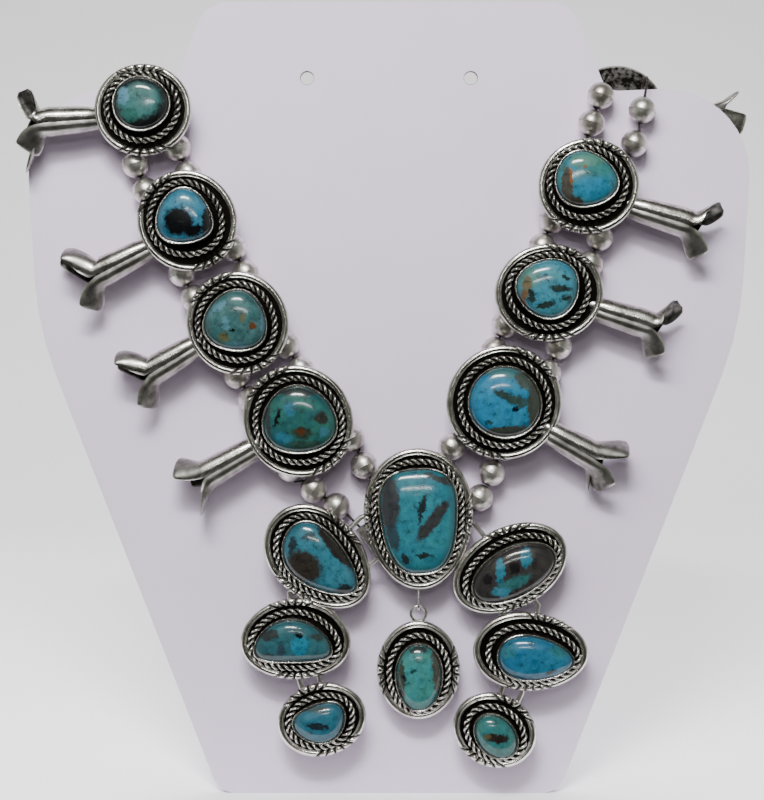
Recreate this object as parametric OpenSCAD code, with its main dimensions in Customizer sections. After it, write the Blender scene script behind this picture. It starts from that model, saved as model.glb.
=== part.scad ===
// A squash blossom necklace in silver and turquoise on its display card.
// The card leans back on a strut. Everything is laid out on the card's own axes,
// x across, y up and z out of its face, and on_card() leans it all back.

/* [Display card] */
// Width of the card across its shoulders
card_w = 238; // [225:1:260]
// Height of the card along its face
card_h = 261; // [255:1:290]
// Thickness of the card
card_t = 2.4; // [1.5:0.1:4]
// Angle at which the card leans back
lean = 12; // [8:1:18]
// Height of the shoulders along the face
shoulder_h = 232.5; // [228:0.5:240]
// Bore of the two earring holes
ear_hole_d = 4.4; // [1.5:0.1:6]
// Distance between the two earring holes
ear_hole_gap = 54; // [40:1:80]
// Distance from the card's top edge down to the earring holes
ear_hole_drop = 25; // [10:0.5:40]
// Width of the strut
strut_w = 60; // [30:1:90]
// Thickness of the strut
strut_t = 2.4; // [1.5:0.1:4]
// Height of the strut's hinge line along the card
strut_h = 88; // [70:1:92]
// How far behind the card the strut stands
strut_reach = 82; // [65:1:100]

/* [Strands] */
// Diameter of a bead
bead_d = 9.1; // [8:0.1:9.4]
// Play between two beads on their thread
bead_play = 0.2; // [0.1:0.05:0.5]
// Bore of a bead
bead_bore = 2; // [1.7:0.1:2.6]
// Diameter of the thread
thread_d = 0.9; // [0.6:0.1:1.1]
// Gap between the beads and the card
lay_gap = 0.35; // [0.2:0.05:0.8]
// Distance between the two shanks of a rosette
shank_gap = 14; // [12:0.5:15]
// Length of a shank
shank_l = 10; // [8:0.5:11]
// Outer diameter of a shank
shank_d = 4; // [3.4:0.1:5]
// Half the distance between the strands where they cross the shoulders
hang_half = 80; // [78:0.5:84]
// Height from the naja's centre to the shoulders
hang_h = 141.5; // [138:0.5:146]
// Radius of the loop behind the card, between its two strands
loop_r = 50; // [46:0.5:54]
// Angle of the loop's legs from upright
leg_turn = 25; // [22:1:28]

/* [Settings] */
// Distance across a setting of the middle size
setting_d = 36; // [34:0.5:38]
// Gap under a rosette's plate, down to the card
plate_rise = 9.7; // [9.6:0.1:11]
// Thickness of the plate inside the rim
plate_t = 1; // [0.8:0.1:1.6]
// Height of the rim over the plate's underside
rim_h = 2.1; // [1.6:0.1:3]
// Width of the rim wire
rim_w = 2.1; // [1.6:0.1:2.8]
// Height of the rope wire over the plate's underside
rope_h = 2; // [1.4:0.1:2.6]
// Height of the bezel over the plate's underside
bezel_h = 3.2; // [2.4:0.1:4]
// Thickness of the bezel's wall
bezel_t = 0.6; // [0.4:0.1:1]
// Play round a stone in its bezel
stone_play = 0.15; // [0.1:0.05:0.3]
// Height of a stone
stone_h = 4.6; // [3.6:0.1:6]

/* [Blossoms] */
// Diameter of a blossom's stem over its three lobes
stem_d = 7.2; // [6:0.1:7.6]
// Depth of the grooves between the lobes
flute = 1; // [0.5:0.1:1.3]
// Thickness of a petal
petal_t = 0.7; // [0.5:0.1:1]
// Width of a petal where it is widest
petal_w = 8.4; // [7:0.1:9]
// Height of a stem's axis over the card
stem_rise = 8.2; // [8:0.1:10]

/* [Naja and drop] */
// Width of the naja over the centres of its middle settings
naja_w = 76.5; // [74:0.5:80]
// Height of the naja, from its centre setting down to its lowest ones
naja_h = 67; // [65:0.5:70]
// Gap under the naja's plates, down to the card
naja_rise = 8.3; // [8.2:0.1:9.5]
// Diameter of the two wires that join the naja's settings
frame_wire_d = 1.7; // [1.2:0.1:2.2]
// Gap under the drop's plate, down to the card
drop_rise = 6.3; // [5.8:0.1:6.5]
// Height from the drop's centre up to its pivot
drop_arm = 19.6; // [19.2:0.1:20.4]
// Wire of the link and the drop's ring
link_wire_d = 1; // [0.8:0.05:1.1]
// Mid radius of the drop's ring
ring_r = 2.5; // [2.3:0.05:2.8]
// Play between the link and what it hangs from
link_play = 0.2; // [0.15:0.05:0.3]
// Length of the link from the naja's staple down to the drop's pivot
link_l = 8.1; // [8:0.1:9]

/* [Clasp] */
// Wire of the hook and the eye
clasp_wire_d = 1.5; // [1.2:0.1:1.8]
// Mid radius of the eye
eye_r = 3.2; // [3:0.1:4]
// Diameter of the clasp's end bars
bar_d = 3.4; // [3:0.1:4.2]

/* [Hidden] */
$fn = 32;

SILVER = "#b9b6b0";
TURQUOISE = "#2d93a6";
CARD = "#d2ccd8";

// Heights of the strands' axes, in front of the card and behind it
front_z = lay_gap + bead_d / 2;
back_z = -card_t - lay_gap - bead_d / 2;
pitch = bead_d + bead_play;
EPS = 0.2;
SIDES = 24;

// The card's right half from the foot up: across and up as shares of half the
// width and of the shoulder height, and the radius of the corner
CARD_CORNERS = [
  [0.47, 0, 8],
  [0.975, 0.66, 110],
  [1.015, 1.005, 28],
  [0.603, 0.996, 6]
];
// Half width of the neck at the top, as a share of half the card's width
neck_share = 0.508;
neck_r = 11;

// Places of the rosettes, from the shoulder down: across as shares of hang_half,
// and down from the shoulders as shares of hang_h
LEFT_PLACES = [[-1, 0.06], [-0.82, 0.315], [-0.615, 0.55], [-0.37, 0.775]];
RIGHT_PLACES = [[0.955, 0.047], [0.81, 0.235], [0.65, 0.48], [0.467, 0.732]];
// Place of the naja's centre across, as a share of hang_half
naja_share = 0.12;

// Columns of a setting's row: long and short width as shares of setting_d, turn of
// the long axis in degrees, how much it narrows to one end and how much it sags
LONG = 0; SHORT = 1; TURN = 2; TAPER = 3; SAG = 4;
LEFT_RIMS = [
  [0.88, 0.835, 0, 0, 0], [0.94, 0.89, -50, 0, 0],
  [0.95, 0.92, -55, 0, 0], [1.04, 0.98, -50, 0, 0]
];
RIGHT_RIMS = [
  [0.91, 0.9, 0, 0, 0], [0.92, 0.865, 10, 0, 0],
  [0.985, 0.885, 5, 0, 0], [1.05, 1.03, 30, 0, 0]
];
// A stone's row goes on with where it sits off the setting's centre
OFF_X = 5; OFF_Y = 6;
LEFT_STONES = [
  [0.49, 0.465, 0, 0.05, 0, -0.01, 0.05], [0.49, 0.475, -25, 0.28, 0, -0.01, 0.02],
  [0.55, 0.53, -30, 0.2, 0.1, 0, 0.01], [0.65, 0.59, -10, 0.12, 0.12, 0.025, 0.01]
];
RIGHT_STONES = [
  [0.49, 0.465, 0, 0.05, 0, 0, 0], [0.55, 0.48, -12, 0.18, 0, -0.015, 0.05],
  [0.545, 0.515, 180, 0.12, 0.1, -0.02, 0.03], [0.64, 0.62, -30, 0.05, 0, 0.01, -0.005]
];
// The naja's settings: centre, then left and right from the top down, with their
// places across and down from the centre as shares of naja_w and naja_h
NAJA_PLACES = [
  [0, 0],
  [-0.426, -0.19], [-0.523, -0.583], [-0.412, -0.975],
  [0.389, -0.239], [0.477, -0.645], [0.324, -1.027]
];
NAJA_RIMS = [
  [1.28, 0.985, -88, 0.1, 0],
  [1.1, 0.8, -43, 0.1, 0], [1, 0.735, 0, 0, 0.08], [0.81, 0.665, 15, 0, 0],
  [1.11, 0.735, 28, 0, 0], [1.045, 0.715, -3, 0.08, 0], [0.775, 0.665, -25, 0, 0]
];
NAJA_STONES = [
  [0.93, 0.64, -86, 0.2, 0, 0.005, -0.025],
  [0.79, 0.465, -43, 0.28, -0.15, 0.015, -0.04],
  [0.68, 0.37, -2, 0.08, 0.42, -0.02, -0.015],
  [0.46, 0.34, 15, -0.1, -0.25, -0.015, -0.035],
  [0.8, 0.43, 28, 0, 0.05, 0.03, -0.04],
  [0.67, 0.38, -5, 0.25, 0, 0.045, -0.06],
  [0.43, 0.32, -48, 0, 0, 0.01, -0.05]
];
DROP_RIM = [0.895, 0.755, 90, 0, 0];
DROP_STONE = [0.59, 0.4, 90, -0.06, 0, 0.005, -0.065];

// A setting's section from the underside to the pocket: which outline a ring
// follows (0 the rim, 1 the bezel, between them a share of the way), how far it
// lies inside that outline, and its height
SETTING_RINGS = [
  [0, 0.8, 0], [0, 0, 0.9], [0, 0.3, rim_h], [0, rim_w, rim_h], [0, rim_w + 0.2, plate_t],
  [0.55, 0, rope_h], [1, -0.5, plate_t], [1, 0, bezel_h], [1, bezel_t, bezel_h],
  [1, bezel_t, plate_t]
];
// A stone's section: share of its outline and share of its height
STONE_RINGS = [[1, 0], [1, 0.4], [0.86, 0.72], [0.5, 0.95]];

// Blossoms: the stem's angle, how far its axis passes above the rosette's centre, and
// its length from there, then each petal's reach along the stem and upward, all as
// shares of setting_d, and where its back looks at its tip, in degrees from forward
// to upward
LEFT_BLOSSOMS = [
  [184, -0.04, 0.925, [0.235, 0.24, 100], [0.19, -0.19, -35], [0.19, -0.45, 210]],
  [207, -0.054, 0.955, [0.215, 0.27, 65], [0.25, -0.24, -50], [0.14, -0.06, 170]],
  [210.5, 0.024, 0.905, [0.23, 0.25, 62], [0.19, -0.26, -60], [0.14, -0.08, 170]],
  [209, -0.02, 0.96, [0.21, 0.19, 48], [0.2, -0.29, -75], [0.14, -0.1, 170]]
];
RIGHT_BLOSSOMS = [
  [-2, 0, 0.88, [0.22, 0.22, 95], [0.26, -0.16, -80], [0.33, -0.01, 180]],
  [-16.5, -0.064, 0.945, [0.25, 0.17, 88], [0.22, -0.24, -35], [0.14, -0.08, 170]],
  [-17, -0.01, 0.945, [0.2, 0.25, 88], [0.17, -0.24, -50], [0.15, -0.07, 172]],
  [-28.5, -0.037, 0.935, [0.26, 0.19, 48], [0.25, -0.21, -45], [0.2, -0.2, 182]]
];

// How far each pair of beads lies to the inside and to the outside of the line
// between two rosettes, as shares of shank_gap
LEFT_BULGES = [[0.4, 0.66], [0.66, 0.67], [0.67, 0.67]];
RIGHT_BULGES = [[0.5, 0.68], [0.65, 0.7]];

// Chosen points of the strands, in millimetres from the naja's centre: the beads
// that lead into the naja, and the shanks on its back, from where to where
LEFT_IN_BEADS = [[-22, 26.1], [-17.8, 17.3]];
LEFT_OUT_BEADS = [[-41.9, 16.3], [-34.3, 9.4], [-26.7, 3.9]];
RIGHT_IN_BEADS = [[10.9, 23.4], [15.5, 31.5]];
RIGHT_OUT_BEADS = [[20.1, 6.7], [24, 14.9], [28.1, 23.2]];
LEFT_IN_SHANK = [[-13.3, 7.9], [-9.2, -0.6]];
LEFT_OUT_SHANK = [[-19.2, -2.9], [-14.2, -9.4]];
RIGHT_IN_SHANK = [[2.5, 8.3], [6.5, 15.7]];
RIGHT_OUT_SHANK = [[12.7, -8.7], [16.3, -1.3]];
// The two strands' last beads below the right shoulder, from the line hang_half
// across and the shoulder's height, and how far across from it they go over
RIGHT_TOP_IN = [[-16.8, -21.3], [-13.7, -12.1], [-10.7, -3.1]];
RIGHT_TOP_OUT = [[0.3, -18.8], [2.9, -7.8]];
RIGHT_OVER = [-7.7, 4.7];
// The threads' way behind the naja's centre setting, from shank to shank
PASS_IN = [[-6.5, -3.5], [-1, -3]];
PASS_OUT = [[-11, -12], [9.5, -13]];

naja_at = [naja_share * hang_half, shoulder_h - hang_h];

// Small vector helpers
function unit(v) = v / norm(v);
function turned(p, a) = [p[0] * cos(a) - p[1] * sin(a), p[0] * sin(a) + p[1] * cos(a)];
function lifted(p, z) = [p[0], p[1], z];
function mix(a, b, t) = a + (b - a) * t;

// The setting outline of a row, made smaller all round by inset
function outline(row, inset = 0) =
  let(a = row[LONG] * setting_d / 2 - inset, b = row[SHORT] * setting_d / 2 - inset)
  [for (i = [0:SIDES - 1])
    let(t = 360 * i / SIDES - row[TURN], c = cos(t), s = sin(t))
    turned([a * c, b * (s + row[SAG] * (s * s - 1)) * (1 - row[TAPER] * c)], row[TURN])];

function rise_to(points, z) = [for (p = points) [p[0], p[1], z]];
function offset_of(row) = [row[OFF_X], row[OFF_Y]] * setting_d;
function shifted(points, v) = [for (p = points) p + v];

// A closed solid through rings of equal count, each ring anticlockwise from above
module skin(rings) {
  n = len(rings[0]);
  m = len(rings);
  points = [for (ring = rings) each ring];
  sides = [for (i = [0:m - 2], j = [0:n - 1])
    let(k = (j + 1) % n, a = i * n + j, b = i * n + k)
    each [[a, a + n, b + n], [a, b + n, b]]];
  foot = [for (j = [0:n - 1]) j];
  head = [for (j = [n - 1:-1:0]) (m - 1) * n + j];
  polyhedron(points, concat([foot, head], sides), convexity = 4);
}

// Directions and rings of a tube along a list of points
function way(p, i) = unit(p[min(i + 1, len(p) - 1)] - p[min(i, len(p) - 2)]);
function tangent(p, i) = unit(way(p, i) + way(p, max(i - 1, 0)));
function squared(u, t) = unit(u - t * (u * t));
function carried(p, u, i = 0) =
  i >= len(p) ? [] :
  let(v = squared(u, tangent(p, i))) concat([v], carried(p, v, i + 1));
function hoop(centre, u, t, r, n) =
  let(w = cross(t, u))
  [for (j = [0:n - 1]) centre + r * (cos(360 * j / n) * u + sin(360 * j / n) * w)];

module tube(p, r, u = [0, 0, 1], n = 6) {
  us = carried(p, u);
  skin([for (i = [0:len(p) - 1]) hoop(p[i], us[i], tangent(p, i), r, n)]);
}

// Leaning everything back from the bottom edge of the card
module on_card() { rotate([90 - lean, 0, 0]) children(); }

// A polygon with every corner rounded to its radius
function arc_of(before, corner, after, r) =
  let(
    u = unit(before - corner), v = unit(after - corner),
    half = acos(u * v) / 2,
    centre = corner + unit(u + v) * r / sin(half),
    from = corner + u * r / tan(half) - centre,
    sweep = 180 - 2 * half,
    way_round = sign(v[0] * u[1] - v[1] * u[0]),
    steps = max(3, round(sweep / 9))
  )
  [for (i = [0:steps]) centre + turned(from, way_round * sweep * i / steps)];
function rounded(corners) =
  let(n = len(corners), at = [for (c = corners) [c[0], c[1]]])
  [for (i = [0:n - 1])
    each arc_of(at[(i + n - 1) % n], at[i], at[(i + 1) % n], corners[i][2])];

right_half = concat(
  [for (c = CARD_CORNERS) [c[0] * card_w / 2, c[1] * shoulder_h, c[2]]],
  [[neck_share * card_w / 2, card_h, neck_r]]
);
left_half = [for (i = [len(right_half) - 1:-1:0])
  [-right_half[i][0], right_half[i][1], right_half[i][2]]];

module display_card() {
  skirt = card_t * tan(lean) + EPS;
  color(CARD)
  intersection() {
    on_card() difference() {
      translate([0, 0, -card_t]) linear_extrude(card_t) union() {
        polygon(rounded(concat(right_half, left_half)));
        foot_w = (CARD_CORNERS[0][0] * card_w - 2 * CARD_CORNERS[0][2]);
        translate([-foot_w / 2, -skirt]) square([foot_w, skirt + EPS]);
      }
      for (side = [-1, 1])
        translate([side * ear_hole_gap / 2, card_h - ear_hole_drop, -card_t - 1])
          cylinder(d = ear_hole_d, h = card_t + 2);
    }
    translate([-card_w, -card_h, 0]) cube([2 * card_w, 2 * card_h, 2 * card_h]);
  }
}

// The strut: a flap that lies on the card's back and a leg down to the surface
module card_strut() {
  flap = 20;
  foot = [strut_reach * sin(lean), -strut_reach * cos(lean)];
  hinge = [strut_h, -card_t];
  down = unit(foot - hinge);
  past = foot + down * 2 * strut_t;
  side = [-down[1], down[0]] * strut_t;
  color(CARD)
  intersection() {
    on_card() rotate([0, -90, 0]) linear_extrude(strut_w, center = true)
      polygon([for (p = [
        hinge + [flap, 0], hinge, past, past + side, hinge + side + [0, -strut_t / 2],
        hinge + [flap, -strut_t]
      ]) [p[1], p[0]]]);
    translate([-card_w, -card_h, 0]) cube([2 * card_w, 2 * card_h, 2 * card_h]);
  }
}

// A setting at height z: plate, rim, rope ring and bezel round the stone's pocket
module setting(rim, stone, z) {
  bezel = -stone_play - bezel_t;
  skin([for (r = SETTING_RINGS)
    let(
      outer = outline(rim, r[1]),
      inner = shifted(outline(stone, bezel + r[1]), offset_of(stone)),
      rope_out = outline(rim, rim_w + 0.2),
      rope_in = shifted(outline(stone, bezel), offset_of(stone))
    )
    rise_to(r[0] == 0 ? outer : r[0] == 1 ? inner : mix(rope_out, rope_in, r[0]), z + r[2])]);
}

module cabochon(stone, z) {
  color(TURQUOISE)
  skin([for (r = STONE_RINGS)
    rise_to(shifted(outline(stone) * r[0], offset_of(stone)),
      z + plate_t + stone_play + stone_h * r[1])]);
}

// A bored shank from one point to another, webbed up to the plate
module shank(from, to, plate_z) {
  along = to - from;
  translate(lifted(from, front_z)) rotate([0, 0, atan2(along[1], along[0])])
  difference() {
    union() {
      rotate([0, 90, 0]) cylinder(d = shank_d, h = norm(along));
      translate([0, -shank_d / 4, 0])
        cube([norm(along), shank_d / 2, plate_z + EPS - front_z]);
    }
    translate([-1, 0, 0]) rotate([0, 90, 0]) cylinder(d = bead_bore, h = norm(along) + 2);
  }
}

// The stem's sections: share of its length, of its width, and how far the axis hangs
// there, as a share of stem_d
STEM_RINGS = [[0, 0.85, 0.13], [0.3, 1.08, 0], [1, 1.3, 0]];
// Where the middle of each lobe looks, in degrees from forward to upward
LOBES = [50, -70, 170];
// The points of a lobe from one groove to the next: depth as a share of flute
LOBE = [1, 0.28, 0, 0.28];
// A petal's sections: share of its way, half width and bulge as shares of petal_w
PETAL_RINGS = [
  [0, 0.33, 0.3], [0.25, 0.38, 0.24], [0.5, 0.45, 0.18], [0.75, 0.5, 0.13], [0.93, 0.37, 0.09],
  [1, 0.15, 0.06]
];
// How deep a petal is hollowed, as a share of its bulge
HOLLOW = 0.6;
// How far a petal's root lies off the stem's axis, as a share of stem_d
PETAL_ROOT = 0.27;
// Height of the three petals' tips against the stem's axis, as shares of stem_d
PETAL_TIPS = [0.08, 0.1, -0.45];
// How soon a petal bends, as shares of its reach along the stem
PETAL_BENDS = [0.45, 0.3];

// A squash blossom: a stem of three lobes that open into three petals
function upward(angle) = cos(angle) > 0 ? 1 : -1;
module stem(hand, from, to) {
  n = len(LOBE);
  skin([for (s = STEM_RINGS) [for (j = [0:3 * n - 1])
    let(a = LOBES[0] + 60 - 120 / n * j * hand, r = stem_d / 2 * s[1] - flute * LOBE[j % n])
    [mix(from, to, s[0]), hand * r * sin(a), r * cos(a) - stem_d * s[2]]]]);
}

// A point of a cubic curve through four control points
function curve(p, t) =
  p[0] * pow(1 - t, 3) + p[1] * 3 * t * pow(1 - t, 2) + p[2] * 3 * t * t * (1 - t) + p[3] * pow(t, 3);
function curve_way(p, t) =
  unit((p[1] - p[0]) * pow(1 - t, 2) + (p[2] - p[1]) * 2 * t * (1 - t) + (p[3] - p[2]) * t * t);
function looking(hand, a) = [0, hand * sin(a), cos(a)];
// A bent sheet's section: half an ellipse outside, and a shallower one inside
function trough(w, b) = concat(
  [for (a = [0:60:180]) [w * cos(a), b * sin(a)]],
  [for (a = [120, 60]) [(w - petal_t) * cos(a), (b - petal_t) * HOLLOW * sin(a)]]
);
module petal(hand, fork, row, lobe, tip_z) {
  root = fork + looking(hand, lobe) * stem_d * PETAL_ROOT;
  tip = fork + [row[0] * setting_d, hand * row[1] * setting_d, tip_z];
  reach = tip - root;
  bends = [
    root,
    root + [reach[0] * PETAL_BENDS[0], 0, reach[2] * 0.2],
    tip - [reach[0] * PETAL_BENDS[1], reach[1] * 0.5, reach[2] * 0.4],
    tip
  ];
  skin([for (s = PETAL_RINGS)
    let(
      t = curve_way(bends, s[0]),
      out = squared(looking(hand, mix(lobe, row[2], s[0])), t), across = cross(out, t)
    )
    [for (q = trough(petal_w * s[1], petal_w * s[2] + petal_t))
      curve(bends, s[0]) + across * q[0] + out * q[1]]
  ]);
}

// Where a stem starts under its rosette's plate, as a share of setting_d
STEM_START = 0.36;
module blossom(row, z) {
  hand = upward(row[0]);
  to = row[2] * setting_d;
  translate([0, 0, z]) rotate([0, 0, row[0]]) translate([0, hand * row[1] * setting_d, 0]) {
    // Keeps its size, and comes back as one skin over stem and petals
    resize([0, 0, 0]) union() {
      stem(hand, setting_d * STEM_START, to);
      for (i = [0:2])
        petal(hand, [to - petal_t, 0, 0], row[i + 3], LOBES[i], PETAL_TIPS[i] * stem_d);
    }
  }
}

// Everything soldered into one rosette, on its own centre
module rosette(rim, stone, flower, heading) {
  color(SILVER) union() {
    setting(rim, stone, plate_rise);
    blossom(flower, stem_rise);
    for (side = [-1, 1]) {
      mid = [-heading[1], heading[0]] * side * shank_gap / 2;
      shank(mid - heading * shank_l / 2, mid + heading * shank_l / 2, plate_rise);
    }
  }
}

// Centres of the rosettes and the direction in which the strands run through them
function place(share) = [share[0] * hang_half, shoulder_h - share[1] * hang_h];
left_at = [for (s = LEFT_PLACES) place(s)];
right_at = [for (s = RIGHT_PLACES) place(s)];
leg_way = [sin(leg_turn), cos(leg_turn)];
// Where the strands come from above the top rosettes and go to beside the naja, as
// shares of setting_d
FROM_ABOVE = [[0, 0.56], [0.14, 0.56]];
TO_NAJA = [[-0.28, 0.39], [0.28, 0.39]];
left_ways = [for (i = [0:3])
  unit(unit(left_at[i] - (i == 0 ? left_at[0] + FROM_ABOVE[0] * setting_d : left_at[i - 1]))
    + unit((i == 3 ? naja_at + TO_NAJA[0] * setting_d : left_at[i + 1]) - left_at[i]))];
right_ways = [for (i = [0:3])
  i == 0 ? unit([-leg_way[0] / 2, -leg_way[1]]) :
  unit(unit(right_at[i] - (i == 3 ? naja_at + TO_NAJA[1] * setting_d : right_at[i + 1]))
    + unit((i == 1 ? right_at[1] + FROM_ABOVE[1] * setting_d : right_at[i - 1]) - right_at[i]))];

module left_rosette(i) {
  on_card() translate(left_at[i]) rosette(LEFT_RIMS[i], LEFT_STONES[i], LEFT_BLOSSOMS[i], left_ways[i]);
}
module left_stone(i) { on_card() translate(left_at[i]) cabochon(LEFT_STONES[i], plate_rise); }

// The first rosette on the right hangs behind the card, face to the back
module behind_card() {
  translate([0, 0, -card_t]) mirror([0, 0, 1]) children();
}
module right_rosette(i) {
  on_card() if (i == 0)
    behind_card() translate(right_at[0])
      rosette(RIGHT_RIMS[0], RIGHT_STONES[0], RIGHT_BLOSSOMS[0], right_ways[0]);
  else
    translate(right_at[i]) rosette(RIGHT_RIMS[i], RIGHT_STONES[i], RIGHT_BLOSSOMS[i], right_ways[i]);
}
module right_stone(i) {
  on_card() if (i == 0)
    behind_card() translate(right_at[0]) cabochon(RIGHT_STONES[0], plate_rise);
  else
    translate(right_at[i]) cabochon(RIGHT_STONES[i], plate_rise);
}

// The naja
function naja_place(i) = [NAJA_PLACES[i][0] * naja_w, NAJA_PLACES[i][1] * naja_h];
centre_foot = -NAJA_RIMS[0][LONG] * setting_d / 2;
// The wires run on both sides of the line from setting to setting, this far off it
// as shares of setting_d, from the lowest setting up to the centre
WIRE_OFFS = [0.07, 0.09, 0.17, 0.2];
NAJA_CHAIN = [[3, 2, 1, 0], [6, 5, 4, 0]];
function chain_mid(c, i) = (naja_place(NAJA_CHAIN[c][i]) + naja_place(NAJA_CHAIN[c][i + 1])) / 2;
function chain_side(c, i) =
  let(d = unit(naja_place(NAJA_CHAIN[c][i + 1]) - naja_place(NAJA_CHAIN[c][i])))
  [-d[1], d[0]] * (c == 0 ? 1 : -1);
function frame_leg(c, k) = concat(
  [naja_place(NAJA_CHAIN[c][0]) + chain_side(c, 0) * k * WIRE_OFFS[0] * setting_d],
  [for (i = [0:2]) chain_mid(c, i) + chain_side(c, i) * k * WIRE_OFFS[i + 1] * setting_d],
  [[(c == 0 ? -1 : 1) * 4, k * 6]]
);

// The staple on the naja's back that the link hangs on: how far in from the rim's
// lowest point, how far under the plate, and half its width
staple_in = 1.3;
staple_fall = 2.8;
staple_half = 2.2;
link_top = centre_foot + staple_in;
link_z = naja_rise - staple_fall;

module naja() {
  wire_z = naja_rise - frame_wire_d / 5;
  color(SILVER) on_card() translate(naja_at) union() {
    for (i = [0:6]) translate(naja_place(i)) setting(NAJA_RIMS[i], NAJA_STONES[i], naja_rise);
    for (c = [0, 1], k = [-1, 1])
      tube([for (p = frame_leg(c, k)) lifted(p, wire_z)], frame_wire_d / 2);
    for (s = [LEFT_IN_SHANK, LEFT_OUT_SHANK, RIGHT_IN_SHANK, RIGHT_OUT_SHANK])
      shank(s[0], s[1], naja_rise);
    translate([-staple_half - link_wire_d / 2, link_top, link_z]) rotate([0, 90, 0])
      cylinder(d = link_wire_d, h = 2 * staple_half + link_wire_d);
    for (side = [-1, 1]) translate([side * staple_half, link_top, link_z])
      cylinder(d = link_wire_d * 1.3, h = naja_rise + EPS - link_z);
  }
}
module naja_stone(i) {
  on_card() translate(naja_at + naja_place(i)) cabochon(NAJA_STONES[i], naja_rise);
}

// The collar that joins the drop's ring to its rim
collar_w = 2.8;
collar_t = 1.2;
// The link hangs upright on the naja's staple and holds the drop's ring
link_r = 1.25;
ring_z = drop_rise + collar_t / 2;
pivot = [naja_at[0], naja_at[1] + link_top - link_l, ring_z];
link_head = [naja_at[0], naja_at[1] + link_top + link_wire_d + link_play, link_z];
drop_at = [pivot[0], pivot[1] - drop_arm];

module drop_link() {
  r = link_r;
  steps = 8;
  span = norm(link_head - pivot);
  tilt = atan2(link_head[2] - pivot[2], link_head[1] - pivot[1]);
  loop = concat(
    [for (i = [0:steps]) [0, span + r * sin(180 * i / steps) - r, r * cos(180 * i / steps)]],
    [for (i = [0:steps]) [0, r - r * sin(180 * i / steps), -r * cos(180 * i / steps)]]
  );
  n = len(loop);
  sides = 6;
  points = [for (i = [0:n - 1])
    let(t = unit(loop[(i + 1) % n] - loop[(i + n - 1) % n]), w = cross([1, 0, 0], t))
    for (j = [0:sides - 1])
      loop[i] + link_wire_d / 2 * (cos(360 * j / sides) * [1, 0, 0] + sin(360 * j / sides) * w)];
  faces = [for (i = [0:n - 1], j = [0:sides - 1])
    let(k = (j + 1) % sides, m = (i + 1) % n)
    each [[i * sides + j, i * sides + k, m * sides + k], [i * sides + j, m * sides + k, m * sides + j]]];
  color(SILVER) on_card() translate(pivot) rotate([tilt, 0, 0]) polyhedron(points, faces, convexity = 4);
}

module drop_setting() {
  rim_top = drop_at[1] + DROP_RIM[LONG] * setting_d / 2;
  ring_mid = pivot[1] + link_wire_d + link_play - ring_r;
  color(SILVER) on_card() union() {
    translate(drop_at) setting(DROP_RIM, DROP_STONE, drop_rise);
    translate([pivot[0], ring_mid, ring_z]) rotate_extrude()
      translate([ring_r, 0]) circle(d = link_wire_d);
    translate([pivot[0] - collar_w / 2, rim_top - collar_t, drop_rise])
      cube([collar_w, ring_mid - ring_r - rim_top + collar_t + EPS, collar_t]);
  }
}
module drop_stone() { on_card() translate(drop_at) cabochon(DROP_STONE, drop_rise); }

// Runs of a strand: from one point to the next, with how many beads on it
function run(a, b, z, n) = [lifted(a, z), lifted(b, z), n];
// Straight length of the thread past each end of a shank
lead = 0.9;
function inward(d, k) = [-d[1], d[0]] * k;
function shank_run(c, d, k, z) =
  let(m = c + inward(d, k) * shank_gap / 2, half = shank_l / 2 + lead)
  run(m - d * half, m + d * half, z, 0);
// A pair of beads between two rosettes, k is 1 for the inner strand, -1 for the outer
function pair_run(a, b, bulge, k) =
  let(d = unit(b - a), m = (a + b) / 2 + inward(d, k) * shank_gap * bulge)
  run(m - d * pitch, m + d * pitch, front_z, 2);
// Single beads at chosen points
function bead_runs(c, before, after, z) =
  let(p = concat([before], c, [after]))
  [for (i = [1:len(c)])
    let(d = unit(unit(p[i] - p[i - 1]) + unit(p[i + 1] - p[i])))
    run(p[i] - d * pitch / 2, p[i] + d * pitch / 2, z, 1)];

// The loop behind the card: a round foot and two straight legs that reach up to
// where the strands cross the shoulders, turned clear of the clasp by clasp_turn
leg_fall = 1.5;
arc_at = [0, shoulder_h - leg_fall - (hang_half - loop_r * cos(leg_turn)) / tan(leg_turn)
  + loop_r * sin(leg_turn)];
clasp_turn = 13;
bar_turn = clasp_turn - asin((bar_d / 2 + bead_play) / (loop_r - shank_gap / 2));
function on_arc(r, a) = arc_at + r * [cos(a), sin(a)];
function arc_runs(side, k) =
  let(
    r = loop_r - k * shank_gap / 2,
    sweep = 90 - leg_turn - clasp_turn,
    n = floor(sweep / (2 * asin(pitch / 2 / r))),
    first = side < 0 ? 270 - clasp_turn : 360 - leg_turn,
    step = -sweep / n
  )
  [for (i = [0:n - 1])
    run(on_arc(r, first + step * i), on_arc(r, first + step * (i + 1)), back_z, 1)];
function leg_run(side, k, top) =
  let(
    foot = on_arc(loop_r - k * shank_gap / 2, side < 0 ? 180 + leg_turn : 360 - leg_turn),
    n = floor(norm(top - foot) / pitch)
  )
  side < 0 ? run(foot, top, back_z, n) : run(top, foot, back_z, n);

// The two ends of a strand where it crosses a shoulder: how high it passes, and how
// far it comes down on each side
over = shoulder_h + 3.2;
dip = 1;
corner_r = 1.6;
// Length of the left leg of the loop
left_leg_l = 74;
function left_top(k) = left_at[0] + inward(left_ways[0], k) * shank_gap / 2 - left_ways[0] * shank_l / 2;
function left_leg_top(k) = on_arc(loop_r - k * shank_gap / 2, 180 + leg_turn)
  + [-leg_way[0], leg_way[1]] * left_leg_l;
function crossing(x, z_from, z_to) =
  [[x, over - dip, z_from], [x, over, z_from - sign(z_from) * corner_r],
   [x, over, z_to - sign(z_to) * corner_r], [x, over - dip, z_to]];
function right_leg_top(k) = right_at[0] + right_ways[0] * (shank_l / 2 + lead)
  - inward(right_ways[0], k) * shank_gap / 2;

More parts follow.
